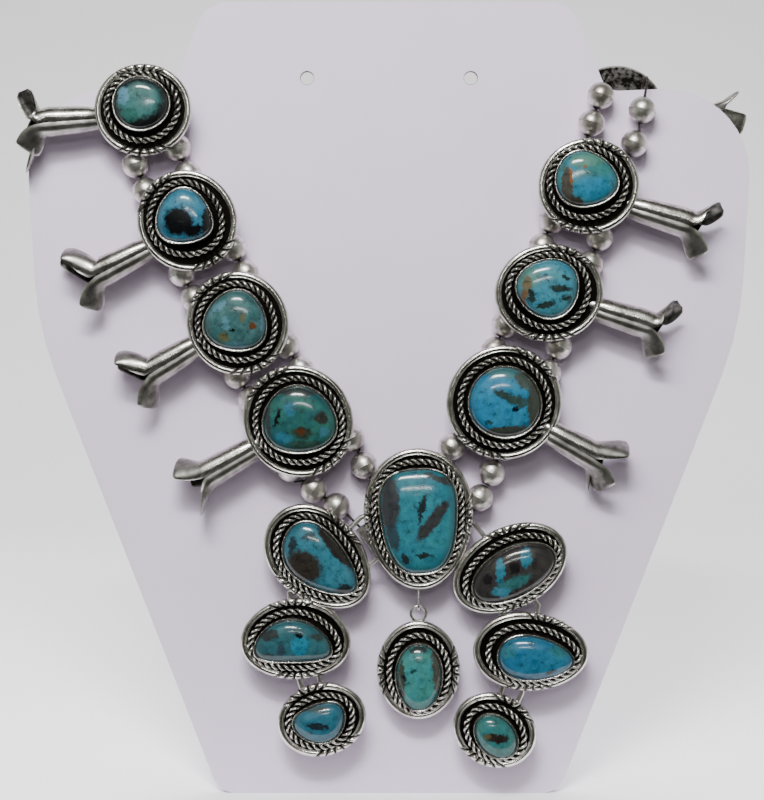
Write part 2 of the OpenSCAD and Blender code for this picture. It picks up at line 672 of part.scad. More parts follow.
// Runs of the left half, from the clasp over the shoulder to the naja, and of the
// right half, from the naja over the shoulder back to the clasp
function left_runs(k) = concat(
  arc_runs(-1, k),
  [leg_run(-1, k, left_leg_top(k))],
  [[for (p = [crossing(left_top(k)[0], back_z, front_z)]) each [p[0], p[1], 0]]],
  [[for (p = [crossing(left_top(k)[0], back_z, front_z)]) each [p[2], p[3], 0]]],
  [shank_run(left_at[0], left_ways[0], k, front_z)],
  [for (i = [0:2]) each [
    pair_run(left_at[i], left_at[i + 1], LEFT_BULGES[i][k > 0 ? 0 : 1], k),
    shank_run(left_at[i + 1], left_ways[i + 1], k, front_z)]],
  bead_runs([for (p = k > 0 ? LEFT_IN_BEADS : LEFT_OUT_BEADS) p + naja_at],
    left_at[3] + inward(left_ways[3], k) * shank_gap / 2 + left_ways[3] * shank_l / 2,
    naja_at + (k > 0 ? LEFT_IN_SHANK[0] : LEFT_OUT_SHANK[0]), front_z)
);
function right_runs(k) =
  let(
    tops = [for (p = k > 0 ? RIGHT_TOP_IN : RIGHT_TOP_OUT) p + [hang_half, shoulder_h]],
    x = hang_half + (k > 0 ? RIGHT_OVER[0] : RIGHT_OVER[1]),
    behind = right_at[0] - inward(right_ways[0], k) * shank_gap / 2
  )
  concat(
    bead_runs([for (p = k > 0 ? RIGHT_IN_BEADS : RIGHT_OUT_BEADS) p + naja_at],
      naja_at + (k > 0 ? RIGHT_IN_SHANK[1] : RIGHT_OUT_SHANK[1]),
      right_at[3] + inward(right_ways[3], k) * shank_gap / 2 - right_ways[3] * shank_l / 2, front_z),
    [for (i = [3:-1:2]) each [
      shank_run(right_at[i], right_ways[i], k, front_z),
      pair_run(right_at[i], right_at[i - 1], RIGHT_BULGES[i - 2][k > 0 ? 0 : 1], k)]],
    [shank_run(right_at[1], right_ways[1], k, front_z)],
    bead_runs(tops, right_at[1] + inward(right_ways[1], k) * shank_gap / 2 + right_ways[1] * shank_l / 2,
      [x, over], front_z),
    [[for (p = [crossing(x, front_z, back_z)]) each [p[0], p[1], 0]]],
    [[for (p = [crossing(x, front_z, back_z)]) each [p[2], p[3], 0]]],
    [run(behind - right_ways[0] * shank_l / 2, behind + right_ways[0] * shank_l / 2, back_z, 0)],
    [leg_run(1, k, right_leg_top(k))],
    arc_runs(1, k)
  );

function merged(p) =
  [for (i = [0:len(p) - 1]) if (i == 0 || norm(p[i] - p[i - 1]) > 0.05) p[i]];
function run_points(runs) = [for (r = runs) each [r[0], r[1]]];
function clasp_end(side, k) =
  lifted(on_arc(loop_r - k * shank_gap / 2, 270 + side * bar_turn), back_z);
function naja_pass(k) = k > 0
  ? concat(LEFT_IN_SHANK, PASS_IN, RIGHT_IN_SHANK)
  : concat(LEFT_OUT_SHANK, PASS_OUT, RIGHT_OUT_SHANK);

module thread(k) {
  points = concat(
    [clasp_end(-1, k)],
    run_points(left_runs(k)),
    [for (p = naja_pass(k)) lifted(naja_at + p, front_z)],
    run_points(right_runs(k)),
    [clasp_end(1, k)]
  );
  color("#4a4742") on_card() tube(merged(points), thread_d / 2);
}

// A bead with its bore along x
module bead() {
  difference() {
    sphere(d = bead_d);
    rotate([0, 90, 0]) cylinder(d = bead_bore, h = bead_d + 1, center = true);
  }
}
module beads(runs) {
  color(SILVER) on_card() for (r = runs) if (r[2] > 0) {
    d = r[1] - r[0];
    for (i = [0:r[2] - 1])
      translate(mix(r[0], r[1], (i + 0.5) / r[2])) rotate([0, 0, atan2(d[1], d[0])]) bead();
  }
}

// The hook and the eye, each with a bar that holds the ends of both threads
module clasp_bar(side) {
  a = 270 + side * bar_turn;
  mid = on_arc(loop_r, a);
  translate(lifted(mid, back_z)) rotate([0, 0, a + 90]) rotate([90, 0, 0])
  difference() {
    cylinder(d = bar_d, h = shank_gap + shank_d, center = true);
    for (k = [-1, 1]) translate([0, 0, k * shank_gap / 2]) rotate([0, 90, 0])
      cylinder(d = thread_d + 0.8, h = bar_d + 2, center = true);
  }
}
clasp_y = arc_at[1] - loop_r;
bar_x = loop_r * sin(bar_turn);
// The hook bends down where the eye's near side passes, grip off the middle
grip = 3.4;
post_d = clasp_wire_d + 0.4;
hook_r = clasp_wire_d + 0.3;
module clasp_hook() {
  color(SILVER) on_card() union() {
    clasp_bar(-1);
    translate([-bar_x, clasp_y, back_z]) rotate([0, 90, 0]) cylinder(d = post_d, h = bar_x - grip);
    translate([-grip, clasp_y, back_z - hook_r]) rotate([90, 0, 0]) rotate([0, 0, 90])
      rotate_extrude(angle = -235) translate([hook_r, 0]) circle(d = clasp_wire_d);
  }
}
module clasp_eye() {
  color(SILVER) on_card() union() {
    clasp_bar(1);
    translate([eye_r - grip, clasp_y, back_z - hook_r]) rotate_extrude()
      translate([eye_r, 0]) circle(d = clasp_wire_d);
    translate([2 * eye_r - grip, clasp_y, back_z - hook_r]) rotate([0, 90, 0])
      cylinder(d = post_d, h = bar_x - 2 * eye_r + grip);
  }
}

display_card();
card_strut();
left_rosette(0);  // rosette_left_1
left_rosette(1);  // rosette_left_2
left_rosette(2);  // rosette_left_3
left_rosette(3);  // rosette_left_4
right_rosette(0);  // rosette_right_1
right_rosette(1);  // rosette_right_2
right_rosette(2);  // rosette_right_3
right_rosette(3);  // rosette_right_4
left_stone(0);  // stone_left_1
left_stone(1);  // stone_left_2
left_stone(2);  // stone_left_3
left_stone(3);  // stone_left_4
right_stone(0);  // stone_right_1
right_stone(1);  // stone_right_2
right_stone(2);  // stone_right_3
right_stone(3);  // stone_right_4
naja();
naja_stone(0);  // naja_stone_centre
naja_stone(1);  // naja_stone_left_1
naja_stone(2);  // naja_stone_left_2
naja_stone(3);  // naja_stone_left_3
naja_stone(4);  // naja_stone_right_1
naja_stone(5);  // naja_stone_right_2
naja_stone(6);  // naja_stone_right_3
drop_link();
drop_setting();
drop_stone();
beads(left_runs(1));  // beads_inner_left
beads(right_runs(1));  // beads_inner_right
beads(left_runs(-1));  // beads_outer_left
beads(right_runs(-1));  // beads_outer_right
thread(1);  // thread_inner
thread(-1);  // thread_outer
clasp_hook();
clasp_eye();
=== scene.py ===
"""A squash blossom necklace in silver and turquoise on its display card.

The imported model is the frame. Every piece is drawn on the card's own axes in
millimetres, x across, y up the card and z out of its face, and is leaned back into
the frame when its mesh is built.
"""

import logging
import math
from collections.abc import Iterable, Sequence
from dataclasses import dataclass
from enum import Enum
from functools import partial

import bpy
import numpy as np
from mathutils import Matrix, Vector


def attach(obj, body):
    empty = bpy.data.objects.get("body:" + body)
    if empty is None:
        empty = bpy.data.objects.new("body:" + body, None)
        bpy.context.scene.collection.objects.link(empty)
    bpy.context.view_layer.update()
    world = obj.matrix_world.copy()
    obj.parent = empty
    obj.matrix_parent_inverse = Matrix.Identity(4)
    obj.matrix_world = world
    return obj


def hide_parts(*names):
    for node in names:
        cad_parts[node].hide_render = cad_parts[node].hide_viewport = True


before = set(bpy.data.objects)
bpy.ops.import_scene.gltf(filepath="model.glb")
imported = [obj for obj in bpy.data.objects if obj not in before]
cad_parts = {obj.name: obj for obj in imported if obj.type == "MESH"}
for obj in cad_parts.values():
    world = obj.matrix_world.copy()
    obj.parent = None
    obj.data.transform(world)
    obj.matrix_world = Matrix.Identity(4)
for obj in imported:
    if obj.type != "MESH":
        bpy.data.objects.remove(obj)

log = logging.getLogger("necklace")

Point = tuple[float, float, float]

LEAN = math.radians(12)
MM = 0.001
ROOT = "necklace_on_card"
DROP = "drop"

# The card, the strands' heights and the settings' sizes, in millimetres, as the
# source of the solids has them
CARD_T = 2.4
SHOULDER_H = 232.5
HANG_HALF = 80.0
HANG_H = 141.5
LEG_TURN = math.radians(25)
FRONT_Z = 4.9
SETTING_D = 36.0
SHANK_GAP = 14.0
SHANK_L = 10.0
SHANK_D = 4.0
BORE_D = 2.0
PLATE_RISE = 9.7
NAJA_RISE = 8.3
DROP_RISE = 6.3
STEM_RISE = 8.2
PLATE_T = 1.0
STONE_PLAY = 0.15
BEZEL_T = 0.6
STONE_H = 4.6
NAJA_AT = np.array([9.6, 91.0])
NAJA_SIZE = (76.5, 67.0)
DROP_PIVOT = (9.6, 61.16, 6.9)
DROP_AT = (DROP_PIVOT[0], DROP_PIVOT[1] - 19.6)
EAR_HOLE = (27.0, 236.0, 0.0)


# Small helpers


def leaned(points: np.ndarray) -> np.ndarray:
    """Rows of x, y, z in card millimetres, turned into the frame's metres."""
    x, y, z = np.asarray(points, float).T
    s, c = math.sin(LEAN), math.cos(LEAN)
    return np.stack([x, y * s - z * c, y * c + z * s], 1) * MM


def unleaned(points: np.ndarray) -> np.ndarray:
    """Rows of x, y, z in the frame's metres, turned back to card millimetres."""
    x, y, z = np.asarray(points, float).T / MM
    s, c = math.sin(LEAN), math.cos(LEAN)
    return np.stack([x, y * s + z * c, z * s - y * c], 1)


def linear(hex_colour: str) -> tuple[float, float, float, float]:
    """An sRGB hex colour, six digits after a number sign, as linear RGBA."""
    parts = [int(hex_colour[i : i + 2], 16) / 255 for i in (1, 3, 5)]
    r, g, b = (c / 12.92 if c <= 0.04045 else ((c + 0.055) / 1.055) ** 2.4 for c in parts)
    return (r, g, b, 1.0)


def node(
    tree: bpy.types.NodeTree, kind: str, inputs: dict[int | str, object] | None = None, **settings: object
) -> bpy.types.Node:
    """Adds a node with its settings and its links.

    Args:
        tree: The tree it goes into.
        kind: The node's type name.
        inputs: What each socket, by name or number, is given; see feed.
        **settings: Properties of the node.

    Returns:
        The new node.
    """
    made = tree.nodes.new(kind)
    for key, value in settings.items():
        setattr(made, key, value)
    feed(made, inputs or {})
    return made


def feed(made: bpy.types.Node, inputs: dict[int | str, object]) -> None:
    """Sets or links a node's inputs.

    Args:
        made: The node.
        inputs: Socket name or number to a value, a socket, or a node whose first live output feeds it.
    """
    for key, value in inputs.items():
        if isinstance(value, bpy.types.Node):
            value = next(s for s in value.outputs if s.enabled)
        if isinstance(value, bpy.types.NodeSocket):
            made.id_data.links.new(value, made.inputs[key])
        else:
            made.inputs[key].default_value = value


def turned(points: np.ndarray, degrees: float) -> np.ndarray:
    """Rows of x, y turned about the origin by an angle in degrees."""
    a = math.radians(degrees)
    c, s = math.cos(a), math.sin(a)
    return points @ np.array([[c, s], [-s, c]])


def unit(v: Sequence[float]) -> np.ndarray:
    """A vector at length 1."""
    v = np.asarray(v, float)
    return v / np.linalg.norm(v)


def smooth(x: np.ndarray | float) -> np.ndarray:
    """The smooth step of a value, held between 0 and 1."""
    x = np.clip(x, 0, 1)
    return x * x * (3 - 2 * x)


def round_angles(count: int) -> np.ndarray:
    """Evenly spaced angles once round a circle, in radians."""
    return np.linspace(0, 2 * math.pi, count, endpoint=False)


def linked(name: str, data: bpy.types.ID) -> bpy.types.Object:
    """A new object in the scene for a mesh, a lamp or a lens."""
    made = bpy.data.objects.new(name, data)
    bpy.context.scene.collection.objects.link(made)
    return made


def stored(mesh: bpy.types.Mesh, name: str, values: np.ndarray) -> None:
    """Stores a number on every point of a mesh under an attribute's name."""
    layer = mesh.attributes.new(name, "FLOAT", "POINT")
    layer.data.foreach_set("value", np.asarray(values).astype(np.float32))


def mesh_points(mesh: bpy.types.Mesh) -> np.ndarray:
    """A mesh's points as rows of x, y, z."""
    at = np.empty(len(mesh.vertices) * 3)
    mesh.vertices.foreach_get("co", at)
    return at.reshape(-1, 3)


# Outlines and meshes


@dataclass(frozen=True)
class Outline:
    """An egg-shaped outline of a setting or a stone.

    Args:
        long: Long width as a share of SETTING_D.
        short: Short width as a share of SETTING_D.
        turn: Turn of the long axis in degrees.
        taper: How much it narrows to one end.
        sag: How much it sags to a half moon.
        across: Where it sits off the setting's centre, a share of SETTING_D.
        up: How high it sits off that centre, same share.
        square: How far its round corners fill out.
    """

    long: float
    short: float
    turn: float
    taper: float = 0.0
    sag: float = 0.0
    across: float = 0.0
    up: float = 0.0
    square: float = 0.0

    @property
    def centre(self) -> np.ndarray:
        """Its own centre, from the setting's, in millimetres."""
        return np.array((self.across, self.up)) * SETTING_D

    def ring(self, count: int, inset: float = 0.0) -> np.ndarray:
        """Points round the outline.

        Args:
            count: How many points.
            inset: How far inside the outline they lie, in millimetres.

        Returns:
            Rows of x, y, anticlockwise from in front.
        """
        a, b = (width * SETTING_D / 2 - inset for width in (self.long, self.short))
        t = round_angles(count) - math.radians(self.turn)
        c, s = (np.sign(v) * np.abs(v) ** (1 - self.square) for v in (np.cos(t), np.sin(t)))
        flat = np.stack([a * c, b * (s + self.sag * (s * s - 1)) * (1 - self.taper * c)], 1)
        return turned(flat, self.turn) + self.centre


class Sketch:
    """Points, faces, oxide and painted shade of one piece while it is drawn, in card millimetres."""

    def __init__(self) -> None:
        """Starts an empty sketch."""
        self.points: list[np.ndarray] = []
        self.faces: list[tuple[int, ...]] = []
        self.oxide: list[np.ndarray] = []
        self.count = 0

    def skin(
        self, rings: np.ndarray, oxide: np.ndarray | float, place: Matrix | None = None, hollow: bool = False
    ) -> None:
        """Adds a closed shell through rings of equal count.

        Args:
            rings: Rings by points by x, y, z, each anticlockwise from the head.
            oxide: How dark the silver is by ring and point from its oxide, and how much painted shade a
                piece gets there, 0 bright to 1 black, or one value for all.
            place: Where the shell goes; one that mirrors turns its faces round.
            hollow: True if the last ring joins the first instead of being capped.
        """
        rings = np.asarray(rings, float)
        m, n = rings.shape[:2]
        faces: list[tuple[int, ...]] = []
        for i in range(m if hollow else m - 1):
            low, high = i * n, ((i + 1) % m) * n
            faces += [(low + j, low + (j + 1) % n, high + (j + 1) % n, high + j) for j in range(n)]
        if not hollow:
            faces += [tuple(range(n - 1, -1, -1)), tuple((m - 1) * n + j for j in range(n))]
        turn = np.array(place or Matrix.Identity(4))
        flip = -1 if np.linalg.det(turn[:3, :3]) < 0 else 1
        self.points.append(rings.reshape(-1, 3) @ turn[:3, :3].T + turn[:3, 3])
        self.oxide.append(np.broadcast_to(np.asarray(oxide, float), (m, n)).reshape(-1))
        self.faces += [tuple(self.count + i for i in face)[::flip] for face in faces]
        self.count += m * n

    def tube(
        self, path: np.ndarray, radius: float, oxide: float, place: Matrix | None = None,
        hollow: bool = False,
    ) -> None:
        """Adds a round wire along a path.

        Args:
            path: Rows of x, y, z.
            radius: The wire's radius.
            oxide: How dark it is, from oxide and painted shade.
            place: Where the wire goes.
            hollow: True for a closed loop.
        """
        path = np.asarray(path, float)
        ways = np.roll(path, -1, 0) - np.roll(path, 1, 0) if hollow else np.gradient(path, axis=0)
        ways /= np.linalg.norm(ways, axis=1)[:, None]
        side = np.cross(ways[0], (0, 0, 1))
        side = np.array([1.0, 0, 0]) if np.linalg.norm(side) < 0.1 else side
        angle = round_angles(12)
        rings = []
        for p, t in zip(path, ways):
            side = unit(side - t * np.dot(side, t))
            up = np.cross(t, side)
            rings.append(p + radius * (np.outer(np.cos(angle), side) + np.outer(np.sin(angle), up)))
        self.skin(np.array(rings), oxide, place, hollow)

    def mesh(self, name: str) -> bpy.types.Mesh:
        """The sketch as a mesh.

        Args:
            name: The mesh's name.

        Returns:
            The mesh, still in card millimetres, with its oxide and painted shade.
        """
        made = bpy.data.meshes.new(name)
        made.from_pydata(np.concatenate(self.points).tolist(), [], self.faces)
        stored(made, "oxide", np.concatenate(self.oxide))
        return made

    def build(self, name: str, material: bpy.types.Material, crease: float = 45) -> bpy.types.Object:
        """Makes the piece's object, at the origin, with its place in its mesh.

        Args:
            name: The piece's name.
            material: Its finish.
            crease: Angle in degrees over which an edge stays sharp.

        Returns:
            The object.
        """
        mesh = self.mesh(name)
        mesh.vertices.foreach_set("co", leaned(np.concatenate(self.points)).reshape(-1))
        mesh.update()
        mesh.materials.append(material)
        return shown(name, mesh, crease)


def shown(name: str, mesh: bpy.types.Mesh, crease: float) -> bpy.types.Object:
    """Puts a mesh in the scene with smooth faces and sharp creases.

    Args:
        name: The piece's name.
        mesh: Its mesh, in the frame.
        crease: Angle in degrees over which an edge stays sharp.

    Returns:
        The new object.
    """
    mesh.validate()
    mesh.polygons.foreach_set("use_smooth", [True] * len(mesh.polygons))
    mesh.set_sharp_from_angle(angle=math.radians(crease))
    return linked(name, mesh)


def ridden(piece: bpy.types.Object, body: str, slot: str, *nodes: str) -> None:
    """Hands a finished piece to the frame.

    Args:
        piece: The piece.
        body: The body it rides on.
        slot: The record's material slot; not used.
        *nodes: The solids it stands for.
    """
    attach(piece, body)
    if nodes:
        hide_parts(*nodes)
    log.info("%s: %d faces, for %s", piece.name, len(piece.data.polygons), ", ".join(nodes) or "-")


# Finishes


class Canvas:
    """A material while its nodes are laid down."""

    def __init__(self, name: str) -> None:
        """Starts a material with a plain shader and its Object coordinates.

        Args:
            name: The material's name.
        """
        self.made = bpy.data.materials.new(name)
        self.made.use_nodes = True
        self.add = partial(node, self.made.node_tree)
        self.where = self.add("ShaderNodeTexCoord").outputs["Object"]

    def done(self, looks: dict[int | str, object]) -> bpy.types.Material:
        """Feeds the shader and gives back the finished material."""
        feed(self.made.node_tree.nodes["Principled BSDF"], looks)
        return self.made


@dataclass(frozen=True)
class SterlingSilver:
    """Sterling silver, hand finished and darkened with liver of sulphur.

    It gives the eye a bright, slightly warm mirror on what sticks out and a sooty
    black in what lies deep, with soft scratches between them.
    """

    name: str
    bright: str = "#efece6"
    worn: str = "#a9a49d"
    # The colour of the oxide, also used for painted shade
    oxide: str = "#15130f"
    roughness: float = 0.2
    dull_roughness: float = 0.55
    blotch_mm: float = 2.2
    wear_mm: float = 5.0
    dent_mm: float = 2.6
    scratch_mm: float = 0.35

    def material(self) -> bpy.types.Material:
        """The finish as a material, with the oxide and painted shade read from the piece's own attribute."""
        canvas = Canvas(self.name)
        add, where = canvas.add, canvas.where
        # The attribute holds the oxide in hollows and also painted shade on the blossoms' faces and the
        # naja's frame wires
        oxide = add("ShaderNodeAttribute", attribute_name="oxide").outputs["Fac"]
        blotch = add("ShaderNodeTexNoise", {
            "Vector": where, "Scale": 1 / (self.blotch_mm * MM), "Detail": 3.0, "Roughness": 0.55
        })
        stain = add("ShaderNodeMapRange", {"Value": blotch, 1: 0.4, 2: 0.75, 3: 0.0, 4: 0.24})
        depth = add("ShaderNodeMath", {0: oxide, 1: stain}, operation="ADD", use_clamp=True)
        wear = add("ShaderNodeTexNoise", {"Vector": where, "Scale": 1 / (self.wear_mm * MM), "Detail": 3.0})
        rubbed = add("ShaderNodeMapRange", {"Value": wear, 1: 0.42, 2: 0.75})
        metal = add(
            "ShaderNodeMix", {0: rubbed, 6: linear(self.bright), 7: linear(self.worn)}, data_type="RGBA"
        )
        colour = add("ShaderNodeMix", {0: depth, 6: metal, 7: linear(self.oxide)}, data_type="RGBA")
        rough = add("ShaderNodeMapRange", {"Value": depth, 3: self.roughness, 4: self.dull_roughness})
        dents = add("ShaderNodeTexNoise", {"Vector": where, "Scale": 1 / (self.dent_mm * MM), "Detail": 2.0})
        scratches = add("ShaderNodeTexNoise", {
            "Vector": where, "Scale": 1 / (self.scratch_mm * MM), "Detail": 3.0, "Distortion": 1.5
        })
        low = add("ShaderNodeBump", {"Strength": 0.35, "Distance": 0.25 * MM, "Height": dents})
        fine = add("ShaderNodeBump", {
            "Strength": 0.12, "Distance": 0.06 * MM, "Height": scratches, "Normal": low
        })
        return canvas.done({"Base Color": colour, "Metallic": 1.0, "Roughness": rough, "Normal": fine})


@dataclass(frozen=True)
class Patch:
    """A patch of matrix in a stone, on the stone's own axes in millimetres."""

    x: float
    y: float
    wide: float
    high: float
    turn: float = 0.0
    colour: str = "#2b2620"
    strength: float = 1.0


@dataclass(frozen=True)
class Turquoise:
    """Turquoise cut as a cabochon and polished.

    It gives the eye a cloudy blue to green body with brown and black matrix that
    runs through it in veins, under a glassy polish.

    Args:
        name: The finish's name.
        body: The stone's main colour.
        cloud: The colour of its clouds.
        matrix: The colour of its veins and specks.
        centre: The middle of its pattern, on the card.
        patches: Its large patches of matrix.
        speckle: How much it is speckled.
    """

    name: str
    body: str
    cloud: str
    matrix: str
    centre: Point
    patches: tuple[Patch, ...] = ()
    speckle: float = 0.5
    cloud_mm: float = 6.0
    vein_mm: float = 4.5
    vein_width: float = 0.03
    mottle: float = 0.55
    # Red, green and blue that the mottle and the shade of the bezel multiply the colour by
    shade: Point = (0.16, 0.15, 0.14)
    # How far in millimetres the edges of the patches and veins stray
    ragged: float = 4.6

    def material(self) -> bpy.types.Material:
        """The stone as a material whose pattern is laid out from the stone's centre."""
        canvas = Canvas(self.name)
        add = canvas.add
        # Object coordinates turned onto the card, in millimetres from the stone's centre
        place = add("ShaderNodeMapping", {
            "Vector": canvas.where, "Location": tuple(leaned(np.array([self.centre]))[0]),
            "Rotation": (math.pi / 2 - LEAN, 0, 0), "Scale": (MM, MM, MM),
        }, vector_type="TEXTURE")
        warp = add("ShaderNodeTexNoise", {"Vector": place, "Scale": 0.6, "Detail": 6.0, "Roughness": 0.7})
        strays = warp.outputs["Color"]
        centred = add("ShaderNodeVectorMath", {0: strays, 1: (0.5,) * 3}, operation="SUBTRACT")
        ragged = add(
            "ShaderNodeVectorMath", {0: centred, 1: (self.ragged,) * 3, 2: place}, operation="MULTIPLY_ADD"
        )
        clouds = add("ShaderNodeTexNoise", {
            "Vector": place, "Scale": 1 / self.cloud_mm, "Detail": 5.0, "Roughness": 0.62, "Distortion": 0.6
        })
        cloudy = add("ShaderNodeMapRange", {"Value": clouds, 1: 0.4, 2: 0.62})
        colour = add(
            "ShaderNodeMix", {0: cloudy, 6: linear(self.body), 7: linear(self.cloud)}, data_type="RGBA"
        )
        for patch in self.patches:
            spot = add("ShaderNodeMapping", {
                "Vector": ragged, "Location": (patch.x, patch.y, STONE_H / 2),
                "Rotation": (0, 0, math.radians(patch.turn)), "Scale": (patch.wide, patch.high, 40.0),
            }, vector_type="TEXTURE")
            reach = add("ShaderNodeVectorMath", {0: spot}, operation="LENGTH")
            inside = add(
                "ShaderNodeMapRange", {"Value": reach, 1: 0.72, 2: 1.12, 3: patch.strength, 4: 0.0},
                interpolation_type="SMOOTHSTEP",
            )
            colour = add("ShaderNodeMix", {0: inside, 6: colour, 7: linear(patch.colour)}, data_type="RGBA")
        mottle = add("ShaderNodeTexNoise", {
            "Vector": ragged, "Scale": 0.42, "Detail": 6.0, "Roughness": 0.68
        })
        # The stone's own mottle
        shade_and_mottle = add("ShaderNodeMapRange", {"Value": mottle, 1: 0.4, 2: 0.68, 3: 0.0, 4: self.mottle})
        # The attribute holds painted shade where the bezel shades the stone's edge
        edge = add("ShaderNodeAttribute", attribute_name="oxide").outputs["Fac"]
        shaded = add("ShaderNodeMath", {0: shade_and_mottle, 1: edge}, operation="MAXIMUM")
        colour = add(
            "ShaderNodeMix", {0: shaded, 6: colour, 7: (*self.shade, 1.0)},
            data_type="RGBA", blend_type="MULTIPLY",
        )
        veins = add(
            "ShaderNodeTexVoronoi", {"Vector": ragged, "Scale": 1 / self.vein_mm, "Randomness": 1.0},
            feature="DISTANCE_TO_EDGE",
        )
        thin = add("ShaderNodeMapRange", {
            "Value": veins, 1: self.vein_width * 0.3, 2: self.vein_width, 3: 1.0, 4: 0.0
        })
        broken = add("ShaderNodeTexNoise", {"Vector": place, "Scale": 0.45, "Detail": 2.0})
        gate = add("ShaderNodeMapRange", {"Value": broken, 1: 0.53, 2: 0.65})
        vein = add("ShaderNodeMath", {0: thin, 1: gate}, operation="MULTIPLY")
        specks = add("ShaderNodeTexNoise", {"Vector": place, "Scale": 0.8, "Detail": 5.0, "Roughness": 0.72})
        dots = add("ShaderNodeMapRange", {
            "Value": specks, 1: 0.66 - 0.06 * self.speckle, 2: 0.7 - 0.05 * self.speckle, 3: 0.0, 4: 0.75
        })
        dark = add("ShaderNodeMath", {0: vein, 1: dots}, operation="MAXIMUM")
        final = add("ShaderNodeMix", {0: dark, 6: colour, 7: linear(self.matrix)}, data_type="RGBA")
        pits = add("ShaderNodeBump", {"Strength": 0.12, "Distance": 0.05 * MM, "Height": dark}, invert=True)
        return canvas.done({"Base Color": final, "Roughness": 0.13, "IOR": 1.52, "Normal": pits})


@dataclass(frozen=True)
class CardStock:
    """Display board wrapped in matte paper: pale lavender with the paper's tooth."""

    name: str = "card_stock"
    colour: str = "#ded0e6"
    shade: str = "#d5c7dd"
    # Painted shade for the earring holes
    hole_shade: str = "#6e6b71"
    cloud_mm: float = 30.0
    fibre_mm: float = 0.5
    # Where the painted shade of an earring hole starts to fade and where it ends, from the middle of the
    # hole
    hole_shade_mm: tuple[float, float] = (2.25, 2.45)

    def material(self) -> bpy.types.Material:
        """The card's paper as a material."""
        canvas = Canvas(self.name)
        add, where = canvas.add, canvas.where
        cloud = add("ShaderNodeTexNoise", {
            "Vector": where, "Scale": 1 / (self.cloud_mm * MM), "Detail": 3.0
        })
        colour = add(
            "ShaderNodeMix", {0: cloud, 6: linear(self.colour), 7: linear(self.shade)}, data_type="RGBA"
        )
        # Painted shade darkens the two punched earring holes
        spot, (start, end) = leaned([EAR_HOLE])[0], leaned([(0, 0, 0), (0, 0, 1)])
        right = add("ShaderNodeVectorMath", {0: where}, operation="ABSOLUTE")
        off = add("ShaderNodeVectorMath", {0: right, 1: spot}, operation="SUBTRACT")
        round_it = add("ShaderNodeVectorMath", {0: off, 1: unit(end - start)}, operation="CROSS_PRODUCT")
        reach = add("ShaderNodeVectorMath", {0: round_it}, operation="LENGTH")
        near, far = (r * MM for r in self.hole_shade_mm)
        inside = add("ShaderNodeMapRange", {"Value": reach, 1: near, 2: far, 3: 1.0, 4: 0.0})
        board = add("ShaderNodeMix", {0: inside, 6: colour, 7: linear(self.hole_shade)}, data_type="RGBA")
        fibres = add("ShaderNodeTexNoise", {
            "Vector": where, "Scale": 1 / (self.fibre_mm * MM), "Detail": 4.0, "Roughness": 0.7
        })
        rough = add("ShaderNodeMapRange", {"Value": fibres, 3: 0.72, 4: 0.9})
        tooth = add("ShaderNodeBump", {"Strength": 0.25, "Distance": 0.05 * MM, "Height": fibres})
        return canvas.done({"Base Color": board, "Roughness": rough, "Normal": tooth})


@dataclass(frozen=True)
class WaxedThread:
    """Dark waxed thread of two twisted plies."""

    name: str = "waxed_thread"
    colour: str = "#3a352f"
    gap: str = "#0d0b09"
    ply_mm: float = 0.7

    def material(self) -> bpy.types.Material:
        """The thread as a material, with its plies as slanted bands."""
        canvas = Canvas(self.name)
        plies = canvas.add("ShaderNodeTexWave", {
            "Vector": canvas.where, "Scale": 0.31 / (self.ply_mm * MM), "Distortion": 1.0
        }, bands_direction="DIAGONAL").outputs["Fac"]
        colour = canvas.add(
            "ShaderNodeMix", {0: plies, 6: linear(self.gap), 7: linear(self.colour)}, data_type="RGBA"
        )
        lay = canvas.add("ShaderNodeBump", {"Strength": 0.5, "Distance": 0.1 * MM, "Height": plies})
        return canvas.done({"Base Color": colour, "Roughness": 0.65, "Normal": lay})


@dataclass(frozen=True)
class SweepPaper:
    """The plain pale paper of the floor and the backdrop, with painted shade that greys it towards the back.
    """

    name: str = "sweep_paper"
    # Painted shade: the paper's colour at the front, and the greyer colour it fades to towards the back
    low: str = "#fdfbff"
    high: str = "#cecdcf"

    def material(self) -> bpy.types.Material:
        """The paper as a material, a little greyer as it goes back, as painted shade."""
        canvas = Canvas(self.name)
        depth = canvas.add("ShaderNodeSeparateXYZ", {0: canvas.where}).outputs[1]
        level = canvas.add("ShaderNodeMapRange", {"Value": depth, 1: -0.05, 2: 0.35})
        colour = canvas.add(
            "ShaderNodeMix", {0: level, 6: linear(self.low), 7: linear(self.high)}, data_type="RGBA"
        )
        return canvas.done({"Base Color": colour, "Roughness": 0.85})


# Geometry Nodes


